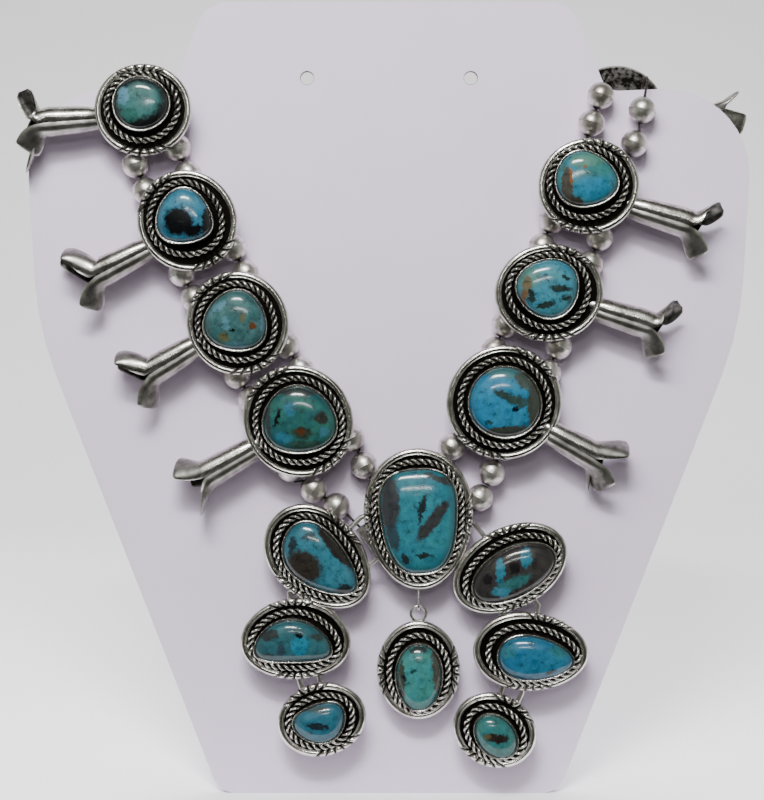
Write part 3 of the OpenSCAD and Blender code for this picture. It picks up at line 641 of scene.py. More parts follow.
class GrownShape:
    """A shape that a node tree grows along a base mesh, turned into a plain mesh."""

    def __init__(self, name: str) -> None:
        """Starts a tree with a geometry input and output.

        Args:
            name: The tree's name.
        """
        self.tree = bpy.data.node_groups.new(name, "GeometryNodeTree")
        self.tree.is_modifier = True
        self.add = partial(node, self.tree)
        self.sockets: dict[str, str] = {}
        for way in ("INPUT", "OUTPUT"):
            self.tree.interface.new_socket("Geometry", in_out=way, socket_type="NodeSocketGeometry")
        self.way_in = self.add("NodeGroupInput")
        self.way_out = self.add("NodeGroupOutput")

    def size(self, name: str, kind: str = "NodeSocketFloat") -> bpy.types.NodeSocket:
        """Adds a named input and returns its socket inside the tree."""
        item = self.tree.interface.new_socket(name, in_out="INPUT", socket_type=kind)
        self.sockets[name] = item.identifier
        return next(s for s in self.way_in.outputs if s.identifier == item.identifier)

    def close(self, grown: bpy.types.Node, material: bpy.types.NodeSocket) -> None:
        """Ends the tree in Realize Instances and Set Material.

        Args:
            grown: The node that gives what was grown.
            material: The input that holds the finish.
        """
        real = self.add("GeometryNodeRealizeInstances", {0: grown})
        dressed = self.add("GeometryNodeSetMaterial", {"Geometry": real, "Material": material})
        feed(self.way_out, {0: dressed})

    def grow(self, name: str, base: bpy.types.Mesh, sizes: dict[str, object]) -> bpy.types.Mesh:
        """Runs the tree on a base mesh.

        Args:
            name: The result's name.
            base: The mesh that the shape follows, in card millimetres.
            sizes: Input name to value.

        Returns:
            The result as a plain mesh in the frame.
        """
        carrier = linked(name + "_carrier", base)
        modifier = carrier.modifiers.new("grow", "NODES")
        modifier.node_group = self.tree
        for key, value in sizes.items():
            modifier[self.sockets[key]] = value
        graph = bpy.context.evaluated_depsgraph_get()
        graph.update()
        mesh = bpy.data.meshes.new_from_object(carrier.evaluated_get(graph))
        carrier.modifiers.remove(modifier)
        bpy.data.objects.remove(carrier)
        mesh.vertices.foreach_set("co", leaned(mesh_points(mesh)).reshape(-1))
        mesh.update()
        return mesh


class TwistedWire(GrownShape):
    """Two round wires twisted round each other along every line of the base mesh."""

    STRAND_R, TURN_L, STEP = 0.58, 4.7, 0.33
    CREASE = 60

    def __init__(self) -> None:
        """Builds the tree, whose sizes are the strand's radius, the turn's length and the step."""
        super().__init__("twisted_wire")
        strand, turn, step = (self.size(name) for name in ("Strand Radius", "Turn Length", "Step"))
        material = self.size("Material", "NodeSocketMaterial")
        add = self.add
        line = add("GeometryNodeMeshToCurve", {"Mesh": self.way_in.outputs[0]})
        even = add("GeometryNodeResampleCurve", {"Curve": line, "Length": step}, mode="LENGTH")
        level = add("GeometryNodeSetCurveNormal", {"Curve": even}, mode="Z_UP")
        length = add("GeometryNodeSplineLength").outputs["Length"]
        parts = add("ShaderNodeMath", {0: length, 1: turn}, operation="DIVIDE")
        turns = add("ShaderNodeMath", {0: parts}, operation="ROUND")
        along = add("GeometryNodeSplineParameter").outputs["Factor"]
        gone = add("ShaderNodeMath", {0: along, 1: turns}, operation="MULTIPLY")
        angle = add("ShaderNodeMath", {0: gone, 1: 2 * math.pi}, operation="MULTIPLY")
        wound = add("GeometryNodeSetCurveTilt", {"Curve": level, "Tilt": angle})
        circle = add("GeometryNodeCurvePrimitiveCircle", {"Resolution": 8, "Radius": strand})
        pair = add("GeometryNodeJoinGeometry")
        for side in (1.0, -1.0):
            shift = add("ShaderNodeMath", {0: strand, 1: side}, operation="MULTIPLY")
            offset = add("ShaderNodeCombineXYZ", {0: shift})
            feed(pair, {0: add("GeometryNodeTransform", {"Geometry": circle, "Translation": offset})})
        # The valley between the strands is the wire's darkest part
        reach = add("ShaderNodeVectorMath", {0: add("GeometryNodeInputPosition")}, operation="LENGTH")
        full = add("ShaderNodeMath", {0: strand, 1: 1.75}, operation="MULTIPLY")
        valley = add("ShaderNodeMapRange", {"Value": reach, 1: strand, 2: full, 3: 1.0, 4: 0.0})
        shaded = add(
            "GeometryNodeStoreNamedAttribute", {"Geometry": pair, "Name": "oxide", "Value": valley},
            data_type="FLOAT", domain="POINT",
        )
        swept = {"Curve": wound, "Profile Curve": shaded, "Fill Caps": True}
        self.close(add("GeometryNodeCurveToMesh", swept), material)

    def wind(self, name: str, body: str, silver: bpy.types.Material, lines: Sequence[np.ndarray]) -> None:
        """Winds one piece of rope wire and hands it to the frame.

        Args:
            name: The piece's name.
            body: The body it rides on.
            silver: Its finish.
            lines: Rows of x, y, z on the card for each closed line that it follows.
        """
        points: list[Sequence[float]] = []
        edges: list[tuple[int, int]] = []
        for line in lines:
            start, count = len(points), len(line)
            points += np.asarray(line, float).tolist()
            edges += [(start + i, start + (i + 1) % count) for i in range(count)]
        mesh = bpy.data.meshes.new(name + "_lines")
        mesh.from_pydata(points, edges, [])
        sizes = {"Strand Radius": self.STRAND_R, "Turn Length": self.TURN_L, "Step": self.STEP}
        wire = self.grow(name, mesh, sizes | {"Material": silver})
        ridden(shown(name, wire, self.CREASE), body, "silver")


class BeadStrings(GrownShape):
    """A bead on every point of the base mesh, turned to its attribute heading."""

    def __init__(self) -> None:
        """Builds the tree, whose inputs are the bead and the finish."""
        super().__init__("bead_strings")
        bead = self.size("Bead", "NodeSocketObject")
        material = self.size("Material", "NodeSocketMaterial")
        heading, spin = (
            self.add("GeometryNodeInputNamedAttribute", {"Name": name}, data_type="FLOAT")
            for name in ("heading", "spin")
        )
        whole = self.add("GeometryNodeObjectInfo", {"Object": bead}).outputs["Geometry"]
        turn = self.add("ShaderNodeCombineXYZ", {0: spin, 2: heading})
        self.close(self.add("GeometryNodeInstanceOnPoints", {
            "Points": self.way_in.outputs[0], "Instance": whole, "Rotation": turn
        }), material)


# Settings and stones


class Facing(Enum):
    """The side of the card that a setting hangs on and faces away from."""

    FRONT = "front"
    BACK = "back"

    def place(self, at: Sequence[float], rise: float) -> Matrix:
        """The place of a setting whose plate's underside is at a height over that side."""
        if self is Facing.FRONT:
            return Matrix.Translation((at[0], at[1], rise))
        return Matrix.Translation((at[0], at[1], -CARD_T - rise)) @ Matrix.Diagonal((1, 1, -1, 1))


def raised(flat: np.ndarray, height: np.ndarray | float) -> np.ndarray:
    """Rows of x, y with a height as their z."""
    return np.column_stack([flat, np.broadcast_to(height, len(flat))])


@dataclass(frozen=True)
class Setting:
    """A stone's setting: stamped rim wire, recess, rope wire and bezel.

    Args:
        rim: The rim's outline.
        stone: The stone's outline.
        suns: Angles in degrees of the middles of its stamped groups of cuts.
        count: Points round its rings.
    """

    rim: Outline
    stone: Outline
    suns: tuple[float, ...] = ()
    count: int = 288
    cuts: int = 6
    cut_pitch: float = 3.1
    cut_width: float = 0.8
    cut_depth: float = 1.25
    cut_slant: float = 0.16

    # The rim's section: inset, height over the plate's underside, oxide
    RIM = (
        (0.9, 0.0, 0.88), (0.3, 0.05, 0.6), (0.06, 0.4, 0.35), (0.0, 0.9, 0.08), (0.08, 1.35, 0.0),
        (0.32, 1.76, 0.0), (0.7, 2.02, 0.0), (1.1, 2.1, 0.0), (1.45, 2.08, 0.0), (1.7, 1.96, 0.1),
        (1.82, 1.76, 0.75), (1.9, 1.86, 0.3), (2.02, 1.9, 0.0), (2.16, 1.8, 0.1), (2.26, 1.5, 0.7),
        (2.32, 1.2, 1.0), (2.4, 0.9, 1.0),
    )
    # The bezel's section: inset inside the bezel's outer outline, height, oxide
    BEZEL = (
        (-0.3, 0.95, 1.0), (-0.06, 1.15, 0.9), (0.0, 1.6, 0.45), (0.0, 2.5, 0.12), (0.06, 3.0, 0.0),
        (0.24, 3.22, 0.0), (0.5, 3.24, 0.0), (0.72, 3.1, 0.1), (0.8, 2.8, 0.8), (0.8, 1.0, 1.0),
    )
    # Heights of the recess's floor and of the middle of the rope wire, and its inset from the rim
    FLOOR, ROPE, ROPE_INSET = 0.9, 1.75, 2.3
    # The stone's girdle and top as shares of its height, and the powers that shape its dome
    GIRDLE, CROWN, DOME = 0.36, 0.985, (0.62, 1.25)
    # How dark the stone's edge is, where the bezel shades it
    EDGE_DARK = 0.6

    def bezel_ring(self, inset: float) -> np.ndarray:
        """The ring that lies inset inside the bezel's outer wall."""
        return self.stone.ring(self.count, inset - STONE_PLAY - BEZEL_T)

    def stamped(self, ring: np.ndarray, inset: float) -> np.ndarray:
        """How deep in millimetres the stamped cuts go at each point of a rim ring.

        Args:
            ring: Rows of x, y.
            inset: How far inside the outline the ring lies.

        Returns:
            A depth for each row.
        """
        depth = np.zeros(len(ring))
        reach = (self.rim.long + self.rim.short) * SETTING_D / 4
        angle = np.degrees(np.arctan2(ring[:, 1], ring[:, 0]))
        taper = self.cut_width * (0.55 + 0.3 * min(inset, 2.0))
        for sun in self.suns:
            arc = np.radians((angle - sun + 180) % 360 - 180) * reach
            for i in range(self.cuts):
                at = (i - (self.cuts - 1) / 2) * self.cut_pitch
                lean = -self.cut_slant * at * (inset - 1.0)
                depth = np.maximum(depth, 1 - np.abs(arc - at - lean) / taper)
        return np.clip(depth, 0, 1) * self.cut_depth

    def draw(self, sketch: Sketch, place: Matrix) -> None:
        """Draws the setting.

        Args:
            sketch: What it goes into.
            place: From the setting's own axes, z at the plate's underside, to the card's.
        """
        rings, shades = [], []
        for inset, height, oxide in self.RIM:
            flat = self.rim.ring(self.count, inset)
            cut = self.stamped(flat, inset) * (height > 0.2)
            soft = cut * (0.35 + 0.65 * smooth((height - 0.6) / 1.2))
            inward = flat * (1 - 0.25 * soft / np.linalg.norm(flat, axis=1))[:, None]
            rings.append(raised(inward, np.maximum(height - soft, min(height, 0.7))))
            shades.append(np.clip(oxide + cut / self.cut_depth * 1.1, 0, 1))
        floor = (self.rim.ring(self.count, self.RIM[-1][0]) + self.bezel_ring(self.BEZEL[0][0])) * 0.5
        rings.append(raised(floor, self.FLOOR))
        shades.append(np.ones(self.count))
        for inset, height, oxide in self.BEZEL:
            rings.append(raised(self.bezel_ring(inset), height))
            shades.append(np.full(self.count, oxide))
        sketch.skin(np.array(rings), np.array(shades), place)

    def rope_line(self, place: Matrix) -> np.ndarray:
        """The line on the card that the rope wire follows, halfway between rim and bezel."""
        flat = (self.rim.ring(self.count, self.ROPE_INSET) + self.bezel_ring(0.0)) / 2
        return (np.column_stack([raised(flat, self.ROPE), np.ones(self.count)]) @ np.array(place).T)[:, :3]

    def set_stone(self, finish: Turquoise, place: Matrix, names: tuple[str, str], body: str = ROOT) -> None:
        """Builds the stone as a domed cabochon and hands it to the frame.

        Args:
            finish: Its finish.
            place: From the setting's own axes to the card's.
            names: The piece's name and the node that it stands for.
            body: The body it rides on.
        """
        outer, centre = self.stone.ring(96), self.stone.centre
        base = PLATE_T + STONE_PLAY
        # Painted shade: the edge rings darken the stone where the bezel shades it, fading inward
        rings, edge = [raised(outer, base)], [np.full(len(outer), self.EDGE_DARK)]
        for turn in np.arange(18) / 18 * math.pi / 2:
            share = math.cos(turn) ** self.DOME[0]
            lift = self.GIRDLE + (self.CROWN - self.GIRDLE) * math.sin(turn) ** self.DOME[1]
            rings.append(raised((outer - centre) * share + centre, base + STONE_H * lift))
            edge.append(np.full(len(outer), self.EDGE_DARK * (1 - smooth((1 - share) / 0.3))))
        gem = Sketch()
        gem.skin(np.array(rings), np.array(edge), place)
        ridden(gem.build(names[0], finish.material(), 60), body, "turquoise", names[1])


# Blossoms


@dataclass(frozen=True)
class Petal:
    """One of a blossom's three petals.

    Args:
        reach: Its tip's reach past the fork along the stem, a share of SETTING_D.
        up: Its tip's reach upward from the stem's axis, same share.
        looks: Where its back looks at its tip, in degrees from forward to upward.
        rise: How soon it leaves the stem's line, a share of its way up.
        deep: How much deeper its trough is than a plain petal's.
        wide: How much wider it is than a plain petal.
        shade_and_mottle: How much painted shade darkens its face more than its edges.
    """

    reach: float
    up: float
    looks: float
    rise: float = 0.16
    deep: float = 1.0
    wide: float = 1.0
    shade_and_mottle: float = 0.45


@dataclass(frozen=True)
class Blossom:
    """A squash blossom: a stem of three round lobes that open into three petals.

    Args:
        angle: The stem's angle, in degrees.
        shift: How far its axis passes above the rosette's centre, a share of SETTING_D.
        length: Distance from the centre to the fork, same share.
        petals: The three petals: upper, lower and back one.
    """

    angle: float
    shift: float
    length: float
    petals: tuple[Petal, Petal, Petal]
    start: float = 0.36
    stem_r: float = 4.0
    sheet: float = 0.45

    # Where each lobe looks along the stem, the height of its petal's tip in millimetres, how much painted
    # shade it gets
    LOBES = ((50.0, 0.6, 0.1), (-70.0, 0.7, 0.26), (170.0, -3.2, 0.15))
    # Along the stem: share of its length, radius as a share of stem_r, how far it hangs
    STEM = ((0.0, 0.85, 0.94), (0.3, 1.08, 0.0), (1.0, 1.3, 0.0))
    # A lobe's chord and half width as shares of the stem's radius there
    CHORD, HALF = 0.42, 0.72
    # Along a petal: share of its way, half width, bulge
    BLADE = (
        (0.0, 3.74, 3.02), (0.15, 3.8, 2.8), (0.35, 4.1, 2.4), (0.55, 4.4, 1.9), (0.7, 4.5, 1.6),
        (0.84, 4.5, 1.25), (0.93, 4.3, 1.0), (0.98, 3.7, 0.75), (1.0, 2.6, 0.5),
    )

    @property
    def hand(self) -> int:
        """1 where upward is to the left of the stem's way, or else -1."""
        return 1 if math.cos(math.radians(self.angle)) > 0 else -1

    def looking(self, degrees: float) -> np.ndarray:
        """The direction at an angle from forward to upward, on the stem's axes."""
        a = math.radians(degrees)
        return np.array([0.0, self.hand * math.sin(a), math.cos(a)])

    def petal_curve(self, which: int) -> np.ndarray:
        """The middle line of a petal.

        Args:
            which: Number of the petal.

        Returns:
            The line's four control points, on the stem's axes.
        """
        petal, (look, height, _) = self.petals[which], self.LOBES[which]
        fork = np.array([self.length * SETTING_D, 0.0, 0.0])
        root = fork + self.looking(look) * self.CHORD * self.STEM[-1][1] * self.stem_r
        tip = fork + (petal.reach * SETTING_D, self.hand * petal.up * SETTING_D, height)
        way = tip - root
        bends = (0.42, petal.rise, 0.2), (0.3, 0.5 - petal.rise, 0.4)
        return np.array([root, root + way * bends[0], tip - way * bends[1], tip])

    def lobe(self, which: int) -> tuple[np.ndarray, np.ndarray]:
        """The rings and the oxide and painted shade of one lobe and its petal.

        Args:
            which: Number of the petal.

        Returns:
            Rings by points by x, y, z, and the oxide and painted shade at each point.
        """
        outer, inner = np.linspace(0, math.pi, 17), np.linspace(math.pi, 0, 17)[1:-1]
        arc = np.concatenate([outer, inner])
        back = np.arange(len(arc)) < len(outer)
        rim = np.abs(np.cos(arc))
        stem, blade = np.array(self.STEM), np.array(self.BLADE)
        petal, (lobe, _, shade_and_mottle) = self.petals[which], self.LOBES[which]
        look = self.looking(lobe)
        rings, shades = [], []

        def ring(
            at: np.ndarray, out: np.ndarray, way: np.ndarray, w: float, h: float, full: float, s: float
        ) -> None:
            """Adds a ring and its oxide and painted shade.

            Args:
                at: Its middle.
                out: Which way its back looks.
                way: Which way the lobe runs there.
                w: Its half width.
                h: How far its back bulges.
                full: 1 for a solid stem, 0 for a hollow petal.
                s: How far out it is, -1 at the stem's start, 0 at the fork, 1 at the tip.
            """
            skin_w = np.where(back, w, w - self.sheet)
            skin_h = np.where(back, h, (h - self.sheet) * (1 - full))
            across = np.cross(out, way)
            rings.append(at + np.outer(skin_w * np.cos(arc), across) + np.outer(skin_h * np.sin(arc), out))
            groove = 0.6 * smooth((rim - 0.86) / 0.14) * (1 - smooth((s + 0.05) / 0.3))
            # Painted shade: a lobe's back and its petal's face are darkened as if they reflected the dim
            # room, and the petal's edges are kept brighter as a painted highlight
            outside = np.maximum(shade_and_mottle + (petal.shade_and_mottle * (1 - rim**6) - 0.1) * smooth(s * 2.5), groove)
            shades.append(np.clip(np.where(back, outside, 0.78 + 0.22 * (1 - smooth(s * 3))), 0, 1))

        for s in np.linspace(0, 1, 7, endpoint=False):
            size, hang = (np.interp(s, stem[:, 0], stem[:, k]) for k in (1, 2))
            r = size * self.stem_r
            x = (self.start + (self.length - self.start) * s) * SETTING_D
            at = np.array([x, 0.0, -hang]) + look * self.CHORD * r
            ring(at, look, np.array([1.0, 0.0, 0.0]), self.HALF * r, (1 - self.CHORD) * r, 1.0, s - 1)
        p = self.petal_curve(which)
        for t in np.linspace(0, 1, 19):
            u = 1 - t
            at = p[0] * u**3 + 3 * p[1] * t * u * u + 3 * p[2] * t * t * u + p[3] * t**3
            way = unit((p[1] - p[0]) * u * u + (p[2] - p[1]) * 2 * t * u + (p[3] - p[2]) * t * t)
            out = self.looking(lobe + (petal.looks - lobe) * smooth(t / 0.6))
            out = unit(out - way * np.dot(out, way))
            w, h = (np.interp(t, blade[:, 0], blade[:, k]) for k in (1, 2))
            w *= 1 + (petal.wide - 1) * smooth(t / 0.5)
            h *= 1 + (petal.deep - 1) * smooth(t / 0.7)
            ring(at, out, way, w, h, 1 - smooth(t / 0.14), t)
        return np.array(rings), np.array(shades)

    def draw(self, sketch: Sketch, place: Matrix) -> None:
        """Draws the blossom.

        Args:
            sketch: What it goes into.
            place: From the rosette's centre, z at the stem's axis, to the card.
        """
        turn = place @ Matrix.Rotation(math.radians(self.angle), 4, "Z")
        turn = turn @ Matrix.Translation((0, self.hand * self.shift * SETTING_D, 0))
        for which in range(len(self.petals)):
            sketch.skin(*self.lobe(which), turn)


# Rosettes


def shank(sketch: Sketch, ends: Sequence[Sequence[float]], plate_z: float, place: Matrix) -> None:
    """Draws a bored shank with a soldered web up to its plate.

    Args:
        sketch: What it goes into.
        ends: Where it starts and where it ends, x and y.
        plate_z: Height of the plate it hangs from.
        place: From those axes to the card's.
    """
    a, b = (np.array([*end, FRONT_Z]) for end in ends)
    way = unit(b - a)
    side = np.cross(way, (0, 0, 1))
    angle = round_angles(24)
    around = np.outer(np.cos(angle), side) + np.outer(np.sin(angle), (0, 0, 1))
    mouth = ((0.2, BORE_D / 2), (0.0, BORE_D / 2 + 0.15), (0.0, SHANK_D / 2 - 0.25), (0.2, SHANK_D / 2))
    rings = [a + way * shift + around * radius for shift, radius in mouth]
    rings += [b - way * shift + around * radius for shift, radius in mouth[::-1]]
    sketch.skin(np.array(rings)[:, ::-1], 0.35, place, hollow=True)
    foot = SHANK_D / 2 - 0.15
    corners = [(a, -1), (b, -1), (b, 1), (a, 1)]
    levels = ((FRONT_Z + foot * 0.6, 1.25), (FRONT_Z + foot, 1.0), (plate_z + 0.2, 1.3))
    web = [[[*(p + side * -k * wide)[:2], z] for p, k in corners] for z, wide in levels]
    sketch.skin(np.array(web), 0.6, place)


@dataclass(frozen=True)
class Rosette:
    """A rosette: setting, stone, blossom and the two shanks on its back."""

    name: str
    at: tuple[float, float]
    heading: np.ndarray
    setting: Setting
    blossom: Blossom
    stone: Turquoise
    facing: Facing

    def dress(self, silver: bpy.types.Material, rope: TwistedWire) -> None:
        """Builds the rosette's pieces and hands them to the frame.

        Args:
            silver: The silver's finish.
            rope: The tree that twists its rope wire.
        """
        place, flat = (self.facing.place(self.at, rise) for rise in (PLATE_RISE, 0.0))
        sketch = Sketch()
        self.setting.draw(sketch, place)
        self.blossom.draw(sketch, flat @ Matrix.Translation((0, 0, STEM_RISE)))
        way = unit(self.heading)
        for side in (-1, 1):
            mid = np.array([-way[1], way[0]]) * side * SHANK_GAP / 2
            shank(sketch, [mid + way * k * SHANK_L / 2 for k in (-1, 1)], PLATE_RISE, flat)
        ridden(sketch.build("silver_" + self.name, silver), ROOT, "silver", "rosette_" + self.name)
        rope.wind("rope_" + self.name, ROOT, silver, [self.setting.rope_line(place)])
        self.setting.set_stone(self.stone, place, ("gem_" + self.name, "stone_" + self.name))


# Naja and drop


@dataclass(frozen=True)
class Naja:
    """The crescent of seven settings on two pairs of wires.

    Args:
        places: Where each setting sits, as shares of NAJA_SIZE, in the order of NAMES.
        settings: The settings, in that order.
        stones: The stones' finishes, in that order.
    """

    places: tuple[tuple[float, float], ...]
    settings: tuple[Setting, ...]
    stones: tuple[Turquoise, ...]
    wire_r: float = 0.85

    NAMES = ("centre", "left_1", "left_2", "left_3", "right_1", "right_2", "right_3")
    # Settings in order along each arm, lowest first
    ARMS = ((3, 2, 1, 0), (6, 5, 4, 0))
    # How far each wire runs off the line from setting to setting, shares of SETTING_D
    OFFS = (0.07, 0.09, 0.17, 0.2)
    SHANKS = (
        ((-13.3, 7.9), (-9.2, -0.6)), ((-19.2, -2.9), (-14.2, -9.4)),
        ((2.5, 8.3), (6.5, 15.7)), ((12.7, -8.7), (16.3, -1.3)),
    )
    # The staple that the drop's link hangs from: its height on the naja, half width, depth and wire
    STAPLE_Y, STAPLE_HALF, STAPLE_DEPTH, STAPLE_R = -21.74, 2.2, 2.8, 0.5

    def at(self, which: int) -> np.ndarray:
        """Where a setting sits, from the naja's centre."""
        return np.array(self.places[which]) * NAJA_SIZE

    def wire(self, arm: int, side: int) -> np.ndarray:
        """The line of one frame wire, from the lowest setting up to the centre.

        Args:
            arm: 0 for the left arm, 1 for the right one.
            side: 1 or -1, for the two wires of the pair.

        Returns:
            Rows of x, y, z from the naja's centre.
        """
        hand = 1 if arm == 0 else -1
        stops = [self.at(which) for which in self.ARMS[arm]]
        points = []
        for i, (a, b) in enumerate(zip(stops, stops[1:])):
            way = unit(b - a)
            off = np.array([-way[1], way[0]]) * hand * side * SETTING_D
            if i == 0:
                points.append(a + off * self.OFFS[0])
            points.append((a + b) / 2 + off * self.OFFS[i + 1])
        points.append(np.array([-4.0 * hand, 6.0 * side]))
        return raised(np.array(points), NAJA_RISE - self.wire_r * 0.4)

    def dress(self, silver: bpy.types.Material, rope: TwistedWire) -> None:
        """Builds the naja's pieces and hands them to the frame.

        Args:
            silver: The silver's finish.
            rope: The tree that twists its rope wires.
        """
        sketch = Sketch()
        lines = []
        for i, (setting, stone, name) in enumerate(zip(self.settings, self.stones, self.NAMES)):
            place = Facing.FRONT.place(NAJA_AT + self.at(i), NAJA_RISE)
            setting.draw(sketch, place)
            lines.append(setting.rope_line(place))
            setting.set_stone(stone, place, ("naja_gem_" + name, "naja_stone_" + name))
        flat = Facing.FRONT.place(NAJA_AT, 0.0)
        # The frame wires get painted shade, as they lie in the settings' shadow
        for arm, side in ((0, 1), (0, -1), (1, 1), (1, -1)):
            sketch.tube(self.wire(arm, side), self.wire_r, 0.25, flat)
        for ends in self.SHANKS:
            shank(sketch, ends, NAJA_RISE, flat)
        half, top, low = self.STAPLE_HALF, NAJA_RISE + 0.2, NAJA_RISE - self.STAPLE_DEPTH
        leg = [(half, top), (half, low + 0.4), (half - 0.4, low)]
        staple = [(-x, self.STAPLE_Y, z) for x, z in leg] + [(x, self.STAPLE_Y, z) for x, z in leg[::-1]]
        sketch.tube(np.array(staple), self.STAPLE_R, 0.2, flat)
        ridden(sketch.build("naja_silver", silver), ROOT, "silver", "naja")
        rope.wind("naja_rope", ROOT, silver, lines)


@dataclass(frozen=True)
class Drop:
    """The drop in the naja's middle with its ring, collar and upright link."""

    setting: Setting
    stone: Turquoise
    link_head: Point = (9.6, 70.46, 5.5)
    wire_r: float = 0.5
    ring_r: float = 2.5
    link_r: float = 1.25
    play: float = 0.2

    # Up the collar: share of its height, half width, half depth
    COLLAR = ((0.0, 1.75, 0.7), (0.35, 1.5, 0.72), (0.7, 1.25, 0.62), (1.0, 1.45, 0.4))

    def dress(self, silver: bpy.types.Material, rope: TwistedWire) -> None:
        """Builds the drop's pieces and hands them to the frame.

        Args:
            silver: The silver's finish.
            rope: The tree that twists its rope wire.
        """
        x, y, z = DROP_PIVOT
        place = Facing.FRONT.place(DROP_AT, DROP_RISE)
        sketch = Sketch()
        self.setting.draw(sketch, place)
        ring_y = y + 2 * self.wire_r + self.play - self.ring_r
        angle = round_angles(48)
        ring = np.column_stack([x + self.ring_r * np.cos(angle), ring_y + self.ring_r * np.sin(angle)])
        sketch.tube(raised(ring, z), self.wire_r, 0.05, hollow=True)
        low = DROP_AT[1] + self.setting.rim.long * SETTING_D / 2 - 0.9
        high = ring_y - self.ring_r + 0.35
        corner = round_angles(20)
        collar = []
        for share, wide, thick in self.COLLAR:
            at = np.full(len(corner), low + (high - low) * share)
            collar.append(np.column_stack([x + wide * np.cos(corner), at, z - thick * np.sin(corner)]))
        sketch.skin(np.array(collar), 0.1)
        ridden(sketch.build("drop_silver", silver), DROP, "silver", "drop_setting")
        rope.wind("drop_rope", DROP, silver, [self.setting.rope_line(place)])
        self.setting.set_stone(self.stone, place, ("drop_gem", "drop_stone"), DROP)
        self.draw_link(silver)

    def draw_link(self, silver: bpy.types.Material) -> None:
        """Builds the upright link between the naja's staple and the drop's ring.

        Args:
            silver: The silver's finish.
        """
        foot, head = np.array(DROP_PIVOT), np.array(self.link_head)
        way = unit(head - foot)
        side = np.cross((1, 0, 0), way)
        half, r = np.linspace(0, math.pi, 12), self.link_r
        top = [head + way * (r * math.sin(a) - r) + side * r * math.cos(a) for a in half]
        low = [foot + way * (r - r * math.sin(a)) - side * r * math.cos(a) for a in half]
        sketch = Sketch()
        sketch.tube(np.array(top + low), self.wire_r, 0.1, hollow=True)
        ridden(sketch.build("drop_upright_link", silver), ROOT, "silver", "drop_link")


# Beads


@dataclass(frozen=True)
class Bead:
    """A hollow silver bead, two domes soldered together at a raised seam."""

    radius: float = 4.45
    seam_r: float = 4.57
    seam_half: float = 0.3
    bore_r: float = 1.0
    sides: int = 22

    def prototype(self) -> bpy.types.Object:
        """One bead with its bore along x, in millimetres, for the tree to repeat."""
        first = math.asin(self.bore_r / self.radius)
        last = math.acos(self.seam_half / self.radius)
        half = [
            (self.radius * math.cos(a), self.radius * math.sin(a), 0.85 * (1 - smooth(i / 2.5)))
            for i, a in enumerate(np.linspace(first, last, 8))
        ]
        half.append((self.seam_half * 0.9, self.radius - 0.06, 0.8))
        half.append((self.seam_half * 0.5, self.seam_r - 0.02, 0.0))
        line = [(-x, r, o) for x, r, o in half] + [(0.0, self.seam_r, 0.0)] + half[::-1]
        angle = round_angles(self.sides)
        wheel = np.column_stack([np.zeros(self.sides), np.cos(angle), np.sin(angle)])
        rings = [wheel * r + (x, 0, 0) for x, r, _ in line]
        sketch = Sketch()
        sketch.skin(np.array(rings), np.array([[o] for _, _, o in line]), hollow=True)
        mesh = sketch.mesh("bead")
        mesh.polygons.foreach_set("use_smooth", [True] * len(mesh.polygons))
        return bpy.data.objects.new("bead", mesh)


def bead_places(name: str) -> tuple[np.ndarray, np.ndarray]:
    """Where a node's beads are, read from the frame.

    Args:
        name: The node.

    Returns:
        The beads' centres on the card, and the angles of their bores in radians.
    """
    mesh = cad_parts[name].data
    corners = np.empty(len(mesh.loops), int)
    mesh.loops.foreach_get("vertex_index", corners)
    triangles = unleaned(mesh_points(mesh))[corners.reshape(-1, 3)]
    _, index = np.unique(np.round(triangles.reshape(-1, 3), 2), axis=0, return_inverse=True)
    index = index.reshape(-1, 3)
    # Each point takes the lowest label of its triangles until every bead has one of its own
    label, before = np.arange(index.max() + 1), None
    while not np.array_equal(before, label):
        before, low = label.copy(), label[index].min(1)
        for k in range(3):
            np.minimum.at(label, index[:, k], low)
        label = label[label]
    centres, headings = [], []
    for bead in np.unique(label):
        own = triangles[label[index[:, 0]] == bead]
        centre = (own.reshape(-1, 3).min(0) + own.reshape(-1, 3).max(0)) / 2
        normal = np.cross(own[:, 1] - own[:, 0], own[:, 2] - own[:, 0])
        wall = own[(normal * (own.mean(1) - centre)).sum(1) < 0].reshape(-1, 3)
        axis = np.linalg.svd(wall - wall.mean(0), full_matrices=False)[2][0]
        centres.append(centre)
        headings.append(math.atan2(axis[1], axis[0]))
    return np.array(centres), np.array(headings)


def dress_strings(silver: bpy.types.Material) -> None:
    """Builds each string of beads where its node's beads are.

    Args:
        silver: The beads' finish.
    """
    tree = BeadStrings()
    bead = Bead().prototype()
    rng = np.random.default_rng(7)
    for name in ("beads_inner_left", "beads_inner_right", "beads_outer_left", "beads_outer_right"):
        centres, turns = bead_places(name)
        mesh = bpy.data.meshes.new(name + "_points")
        mesh.from_pydata(centres.tolist(), [], [])
        stored(mesh, "heading", turns)
        stored(mesh, "spin", rng.uniform(0, 6.28, len(centres)))
        grown = tree.grow("silver_" + name, mesh, {"Bead": bead, "Material": silver})
        ridden(shown("silver_" + name, grown, 50), ROOT, "silver", name)
    bpy.data.objects.remove(bead)


# Card, floor and camera


def dress_nodes(names: Iterable[str], material: bpy.types.Material) -> None:
    """Gives solids that keep their own shape a better finish.

    Args:
        names: The nodes.
        material: Their finish.
    """
    for name in names:
        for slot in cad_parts[name].material_slots:
            slot.material = material
        log.info("%s: own shape, %s", name, material.name)


